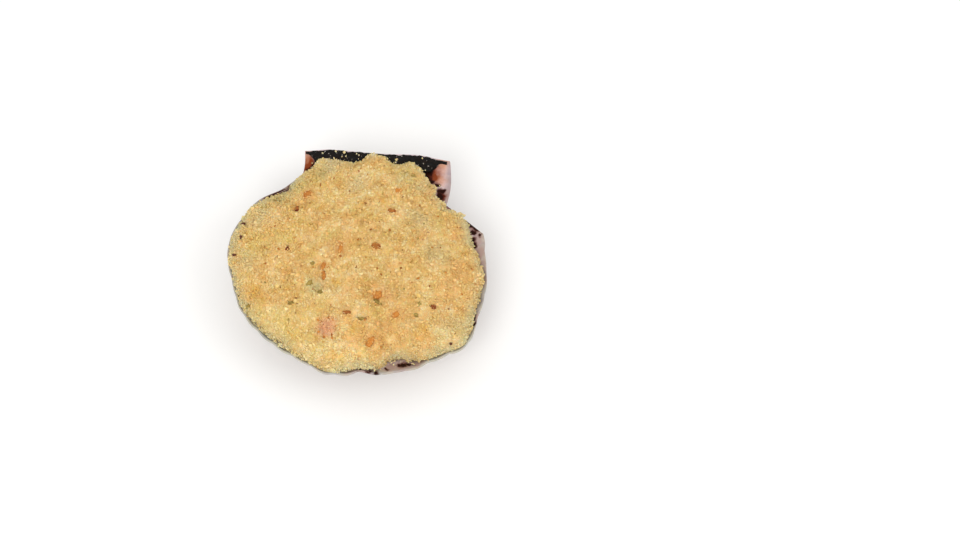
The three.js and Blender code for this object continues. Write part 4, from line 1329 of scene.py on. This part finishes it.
class SCALLOP_OT_clumps(bpy.types.Operator):
    """Piles up clumps of crumbs on the heap and along its ragged edge, and drops stray ones beyond it"""

    bl_idname = "scallop.clumps"
    bl_label = "Pile up the clumps"

    def execute(self, context):
        settings = context.scene.scallop_crumbs
        material = baked_breadcrumb_material(settings, "breadcrumb_clumped_baked")
        stream = np.random.default_rng(12)
        ball = icosphere(1)
        # Each kind: name, count, and the least and greatest radius of its clumps.
        kinds = [
            ("crumbs_clumped", settings.clump_count, (0.5, 1.2)),
            ("crumbs_edge", settings.edge_clump_count, (0.35, 0.95)),
        ]
        for name, count, radius_range in kinds:
            radii = stream.uniform(*radius_range, count)
            if name == "crumbs_edge":
                places = places_at_edge(count, stream, 0.8, 1.6 * radii)
            else:
                places = places_on_heap(count, stream, 0.96, 0.5)
            centres, clump = lay_clumps(places, radii, stream)
            sizes = crumb_sizes(settings.fine_size / MM, len(centres), stream)
            tone = stream.uniform(0.2, 0.8, len(places))[clump] + stream.uniform(-0.2, 0.2, len(clump))
            crumb_piece(name, material, ball, centres, sizes, tone, stream)
        sizes = crumb_sizes(settings.rim_size / MM, settings.rim_count, stream)
        centres = lay_crumbs(places_at_edge(len(sizes), stream, 1.3, sizes), sizes, (-0.1, 0.4), stream)
        tone = stream.uniform(-0.1, 0.9, len(sizes))
        crumb_piece("crumbs_on_rim", material, octahedron(), centres, sizes, tone, stream)
        places = places_strayed(settings.stray_count, stream, 3)
        sizes = crumb_sizes(settings.fine_size / MM, len(places), stream)
        centres = lay_crumbs(places, sizes, (-0.1, 0.2), stream)
        tone = stream.uniform(0.6, 1.3, len(places))
        crumb_piece("crumbs_stray", material, ball, centres, sizes, tone, stream)
        return {"FINISHED"}


# ---- Pepper, parsley and specks ----


class BitSettings(bpy.types.PropertyGroup):
    """Sizes, counts and colours of what is mixed into the crumbs."""

    shred_count: count_setting("Pepper shreds", "How many small shreds of pepper", 50)
    parsley_dust_count: count_setting("Parsley dust", "How many small flakes of parsley", 44)
    speck_count: count_setting("Dark specks", "How many", 36)
    speck_size: length_setting("Speck size", "Middle size of the dark specks", 0.34)
    orange: colour_setting("Orange pepper", "Least ripe pepper", "cb8639")
    red: colour_setting("Red pepper", "Ripest and most browned pepper", "6e2d0e")
    green: colour_setting("Parsley", "Dried parsley", "806a2a")
    olive: colour_setting("Faded parsley", "Older parsley", "b0964a")
    speck: colour_setting("Speck", "Ground black pepper", "5a2f1c")
    brown_speck: colour_setting("Brown speck", "Burnt crumb dust", "ae8650")


BIT_RAISED = 0.2  # lifts a bit into the loose crumbs on the heap
BIT_SUNK = 0.05  # how far its middle then sinks, as a share of its thickness
PEPPER_BOXY = 0.7  # 1 is a ball, less is more like a die
# Crumbs that cling to a bit of pepper: how many for each square millimetre of its length by its width, how
# many fewer on a wholly ripe one, and how they keep off its middle, from 0 to 1.
CLINGING_PER_AREA = 2
CLINGING_LESS_IF_RIPE = 4
CLINGING_FROM = 0.3
EDGE_SPECKS = [(-40.4, -31.8), (-39.8, -37.8), (-40.8, -44.4), (34.0, -69.0)]
EDGE_SPECK_SIZE = 1.5
MORSEL_DOTS = 7  # shreds of pepper round the morsel
MORSEL_DOT_RING = 2.9


def bit_centres(bits):
    """Middles of bits, and their lengths, widths and thicknesses."""
    x, y, length, width, _ = np.array([bit[:5] for bit in bits]).T
    thick = 0.4 + 0.4 * width
    z = heap_top(x, y) - BIT_SUNK * thick + BIT_RAISED
    return np.stack([x, y, z], axis=-1), np.stack([length, width, thick], axis=-1)


def bit_piece(name, material, bits, ball, raggedness, seed, label, values):
    """Bits of one kind, each lying in the heap at its own place and turn."""
    stream = np.random.default_rng(seed)
    centres, stretches = bit_centres(bits)
    turns = flat_turns(np.array([bit[4] for bit in bits]))
    points, faces = ragged_copies(ball, centres, stretches, turns, raggedness, stream)
    measures = {label: np.repeat(values, len(ball[0]))}
    return make_piece(name, material, points, faces, measures)


def places_on_pepper(ripeness, stream):
    """Places strewn over the tops of the pepper bits, the fewer the riper a bit is."""
    centres, lengths = bit_centres(PEPPER_BITS)
    counts = CLINGING_PER_AREA * lengths[:, 0] * lengths[:, 1] - CLINGING_LESS_IF_RIPE * ripeness
    which = np.repeat(np.arange(len(PEPPER_BITS)), np.round(counts).astype(int))
    out = np.sqrt(stream.uniform(CLINGING_FROM, 1, len(which)))
    turn = stream.uniform(-math.pi, math.pi, len(which))
    on_ball = np.stack([out * np.cos(turn), out * np.sin(turn), np.sqrt(1 - out**2)], axis=-1)
    turns = flat_turns(np.array([bit[4] for bit in PEPPER_BITS]))
    return centres[which] + np.einsum("nij,nj->ni", turns[which], 0.5 * lengths[which] * on_ball)


def small_bits(places, lengths, widths, stream):
    """Bits at these places, each of its own length, width and turn."""
    kinds = (lengths, widths, (0, 360))
    return [(x, y, *[stream.uniform(*kind) for kind in kinds]) for x, y in places]


def mottled_material(name, label, tints, grain, weight, cut, relief_height, look):
    """A surface between two tints: each piece has a number of its own, and noise mottles it.

    `grain` is how many millimetres lie between the noise's patches."""
    material, tree = new_material(name)
    own = add(tree, "Attribute", output="Fac", attribute_name=label)
    place = add(tree, "TexCoord", output="Object")
    mottle = add(tree, "TexNoise", {"Vector": place, "Scale": 1 / (grain * MM), "Detail": 3.0})
    level = add(tree, "Math", {0: mottle, 1: weight, 2: own}, operation="MULTIPLY_ADD")
    bump = add(tree, "Bump", {"Strength": 0.5, "Distance": relief_height * MM, "Height": mottle})
    colour = tint_over(tree, *tints, level, *cut)
    return shaded(material, {"Base Color": colour, "Normal": bump, **look})


def roasted_pepper_material(settings):
    """Sweet pepper, diced and roasted soft: moist, translucent, orange to red-brown with browned edges."""
    look = {
        "Roughness": 0.5,
        "IOR": 1.4,
        "Specular IOR Level": 0.3,
        "Subsurface Weight": 0.25,
        "Subsurface Radius": (1.0, 0.35, 0.15),
        "Subsurface Scale": 0.5 * MM,
    }
    tints = settings.orange, settings.red
    return mottled_material("sweet_pepper_roasted", "ripeness", tints, 0.8, 1.1, (0.6, 1.4), 0.15, look)


def dried_parsley_material(settings):
    """Parsley leaf, dried and flaked: thin, matt, dull green fading to olive from flake to flake."""
    look = {"Roughness": 0.7, "IOR": 1.45}
    tints = settings.green, settings.olive
    return mottled_material("parsley_dried_flaked", "fade", tints, 0.35, 0.6, (0.2, 1.3), 0.1, look)


def burnt_speck_material(settings):
    """Ground black pepper and burnt crumb dust: dark to mid brown from speck to speck, rough and dry."""
    material, tree = new_material("black_pepper_ground")
    tone = add(tree, "Attribute", output="Fac", attribute_name="tone")
    tints = {6: settings.speck, 7: settings.brown_speck}
    colour = add(tree, "Mix", {0: tone, **tints}, 2, data_type="RGBA")
    return shaded(material, {"Base Color": colour, "Roughness": 0.8, "IOR": 1.45})


class SCALLOP_OT_pepper(bpy.types.Operator):
    """Lays the bits and shreds of roasted sweet pepper in the heap, and crumbs that cling to the bits"""

    bl_idname = "scallop.pepper"
    bl_label = "Lay the pepper bits"

    def execute(self, context):
        settings = context.scene.scallop_bits
        material = roasted_pepper_material(settings)
        stream = np.random.default_rng(200)
        points, faces = icosphere(3)
        boxy = 0.5 * np.sign(points) * np.abs(2 * points) ** PEPPER_BOXY
        of_bits = np.array([bit[5] for bit in PEPPER_BITS])
        bit_piece("pepper_bits", material, PEPPER_BITS, (boxy, faces), 0.1, 201, "ripeness", of_bits)

        ring = np.linspace(0, 2 * math.pi, MORSEL_DOTS, endpoint=False)
        ring += stream.uniform(-0.3, 0.3, MORSEL_DOTS)
        round_morsel = MORSEL["place"] + MORSEL_DOT_RING * np.stack([np.cos(ring), np.sin(ring)], axis=-1)
        places = np.concatenate([places_on_heap(settings.shred_count, stream, 0.96), round_morsel])
        shreds = small_bits(places, (0.6, 1.3), (0.5, 0.8), stream)
        ripeness = stream.uniform(0.0, 0.6, len(shreds))
        bit_piece("pepper_shreds", material, shreds, icosphere(2), 0.2, 202, "ripeness", ripeness)

        centres = places_on_pepper(of_bits, stream)
        settings = context.scene.scallop_crumbs
        material = baked_breadcrumb_material(settings, "breadcrumb_clinging_baked")
        sizes = crumb_sizes(settings.dust_size / MM, len(centres), stream)
        tone = stream.uniform(0.3, 0.9, len(centres))
        crumb_piece("crumbs_on_pepper", material, icosphere(1), centres, sizes, tone, stream)
        return {"FINISHED"}


class SCALLOP_OT_parsley(bpy.types.Operator):
    """Lays the flakes of dried parsley in the heap, large ones and dust"""

    bl_idname = "scallop.parsley"
    bl_label = "Lay the parsley"

    def execute(self, context):
        settings = context.scene.scallop_bits
        stream = np.random.default_rng(203)
        count = settings.parsley_dust_count
        anywhere = places_on_heap(count // 2, stream, 0.97)
        patches = np.array(PATCHES["herb"])
        patch = patches[stream.integers(0, len(patches), count - count // 2)]
        near_patch = patch[:, :2] + stream.normal(0, 0.5, (len(patch), 2)) * patch[:, 2:]
        places = np.concatenate([anywhere, near_patch[heap_share(*near_patch.T) < 0.97]])
        dust = small_bits(places, (0.4, 0.9), (0.3, 0.6), stream)
        fade = [stream.uniform(0, 0.8, len(PARSLEY_BITS)), stream.uniform(0.4, 1.3, len(dust))]
        material = dried_parsley_material(settings)
        flakes, fade = [*PARSLEY_BITS, *dust], np.concatenate(fade)
        bit_piece("parsley_flakes", material, flakes, icosphere(2), 0.45, 204, "fade", fade)
        return {"FINISHED"}


class SCALLOP_OT_specks(bpy.types.Operator):
    """Scatters dark specks of ground pepper and burnt dust"""

    bl_idname = "scallop.specks"
    bl_label = "Scatter the dark specks"

    def execute(self, context):
        settings = context.scene.scallop_bits
        stream = np.random.default_rng(205)
        places = np.concatenate([places_on_heap(settings.speck_count, stream, 0.98), EDGE_SPECKS])
        sizes = crumb_sizes(settings.speck_size / MM, len(places), stream)
        sizes[settings.speck_count :] = EDGE_SPECK_SIZE
        centres = lay_crumbs(places, sizes, (0.4, 0.7), stream)
        material = burnt_speck_material(settings)
        tone = stream.uniform(0.3, 1, len(places))
        tone[settings.speck_count :] = 0
        crumb_piece("dark_specks", material, icosphere(1), centres, sizes, tone, stream)
        return {"FINISHED"}


# ---- Stage ----


def number_setting(name, description, value, **kind):
    return FloatProperty(name=name, description=description, default=value, **kind)


class StageSettings(bpy.types.PropertyGroup):
    """Floor, light and camera."""

    floor: colour_setting("Floor", "Matt white card", "f4f3f1")
    key_power: number_setting("Key light", "Large soft light over the front", 2.7, unit="POWER")
    fill_power: number_setting("Fill light", "Soft light from the right", 1.0, unit="POWER")
    sky: number_setting("Surrounding light", "Even light from all round", 0.92)
    distance: length_setting("Camera distance", "From the camera to the middle of the object", 420)
    lens: number_setting("Lens", "Focal length", 47.7, unit="CAMERA")
    elevation: number_setting("Elevation", "Camera above the horizon", math.radians(61), subtype="ANGLE")
    azimuth: number_setting("Azimuth", "Camera round to the right", math.radians(6.13), subtype="ANGLE")


PICTURE = (960, 540)  # pixels
AIM_IN_PICTURE = (355, 262)  # where the picture shows the place that the camera's distance is measured to
AIM = (-1.11, -41.82, 0)
# In metres, in the frame of the solids: the lights, what they are turned to, and half the floor's width.
KEY_LIGHT = {"size": 0.6, "place": (-0.15, -0.6, 0.65)}
FILL_LIGHT = {"size": 0.5, "place": (0.6, -0.1, 0.5)}
LIT = (0, 0, 0.01)
FLOOR_HALF = 1.5


def matt_card_material(settings):
    """White card, uncoated: it shows only a soft shadow under the shell."""
    material, _ = new_material("card_uncoated")
    return shaded(material, {"Base Color": settings.floor, "Roughness": 0.9, "IOR": 1.5})


def add_light(name, power, size, place):
    """A round soft light, turned towards the object."""
    data = bpy.data.lights.new(name, "AREA")
    data.shape, data.size, data.energy = "DISK", size, power
    light = bpy.data.objects.new(name, data)
    light.location = place
    light.rotation_euler = (Vector(LIT) - Vector(place)).to_track_quat("-Z", "Y").to_euler()
    bpy.context.scene.collection.objects.link(light)


def add_camera(settings):
    """The camera looks so that `AIM` is at its place in the picture."""
    elevation, azimuth = settings.elevation, settings.azimuth
    level = Vector((math.sin(azimuth), -math.cos(azimuth), 0))
    back = level * math.cos(elevation) + Vector((0, 0, math.sin(elevation)))
    right = Vector((math.cos(azimuth), math.sin(azimuth), 0))
    up = back.cross(right)
    data = bpy.data.cameras.new("camera")
    data.lens = settings.lens
    pixels_per_unit = PICTURE[0] * data.lens / data.sensor_width
    across = (AIM_IN_PICTURE[0] - PICTURE[0] / 2) / pixels_per_unit
    down = (AIM_IN_PICTURE[1] - PICTURE[1] / 2) / pixels_per_unit
    place = (Vector(AIM) + Vector(UMBO)) * MM - (right * across - up * down - back) * settings.distance
    camera = bpy.data.objects.new("camera", data)
    camera.matrix_world = Matrix.Translation(place) @ Matrix((right, up, back)).transposed().to_4x4()
    bpy.context.scene.collection.objects.link(camera)
    return camera


class SCALLOP_OT_stage(bpy.types.Operator):
    """Sets the floor, the soft lights and the camera"""

    bl_idname = "scallop.stage"
    bl_label = "Set the stage"

    def execute(self, context):
        settings = context.scene.scallop_stage
        mesh = bpy.data.meshes.new("floor_card")
        corners = [(-1, -1), (1, -1), (1, 1), (-1, 1)]
        mesh.from_pydata([(FLOOR_HALF * x, FLOOR_HALF * y, 0) for x, y in corners], [], [(0, 1, 2, 3)])
        mesh.materials.append(matt_card_material(settings))
        floor = bpy.data.objects.new("floor_card", mesh)
        context.scene.collection.objects.link(floor)

        world = bpy.data.worlds.new("studio")
        world.use_nodes = True
        background = world.node_tree.nodes["Background"]
        background.inputs["Color"].default_value = opaque(linear("ffffff"))
        background.inputs["Strength"].default_value = settings.sky
        context.scene.world = world
        add_light("key", settings.key_power, **KEY_LIGHT)
        add_light("fill", settings.fill_power, **FILL_LIGHT)
        context.scene.camera = add_camera(settings)
        context.scene.view_settings.view_transform = "Standard"
        return {"FINISHED"}


# ---- Panel and registration ----

OPERATORS = (
    SCALLOP_OT_shell,
    SCALLOP_OT_ligament,
    SCALLOP_OT_heap,
    SCALLOP_OT_loose_crumbs,
    SCALLOP_OT_clumps,
    SCALLOP_OT_pepper,
    SCALLOP_OT_parsley,
    SCALLOP_OT_specks,
    SCALLOP_OT_stage,
)
SETTINGS = {
    "scallop_shell": ShellSettings,
    "scallop_ligament": LigamentSettings,
    "scallop_crumbs": CrumbSettings,
    "scallop_bits": BitSettings,
    "scallop_stage": StageSettings,
}


class SCALLOP_PT_panel(bpy.types.Panel):
    """Lists the pieces in the order in which they are made, and their settings"""

    bl_label = "Gratinated Scallop"
    bl_idname = "SCALLOP_PT_panel"
    bl_space_type = "VIEW_3D"
    bl_region_type = "UI"
    bl_category = "Scallop"

    def draw(self, context):
        for operator in OPERATORS:
            self.layout.operator(operator.bl_idname)
        for pointer, group in SETTINGS.items():
            box = self.layout.box()
            for label in group.__annotations__:
                box.prop(getattr(context.scene, pointer), label)


def register():
    for group in (*SETTINGS.values(), *OPERATORS, SCALLOP_PT_panel):
        bpy.utils.register_class(group)
    for pointer, group in SETTINGS.items():
        setattr(bpy.types.Scene, pointer, PointerProperty(type=group))


def unregister():
    for pointer in SETTINGS:
        delattr(bpy.types.Scene, pointer)
    for group in reversed((*SETTINGS.values(), *OPERATORS, SCALLOP_PT_panel)):
        bpy.utils.unregister_class(group)


def main():
    register()
    bpy.ops.scallop.shell()
    bpy.ops.scallop.ligament()
    bpy.ops.scallop.heap()
    bpy.ops.scallop.loose_crumbs()
    bpy.ops.scallop.clumps()
    bpy.ops.scallop.pepper()
    bpy.ops.scallop.parsley()
    bpy.ops.scallop.specks()
    bpy.ops.scallop.stage()


if __name__ == "__main__":
    main()
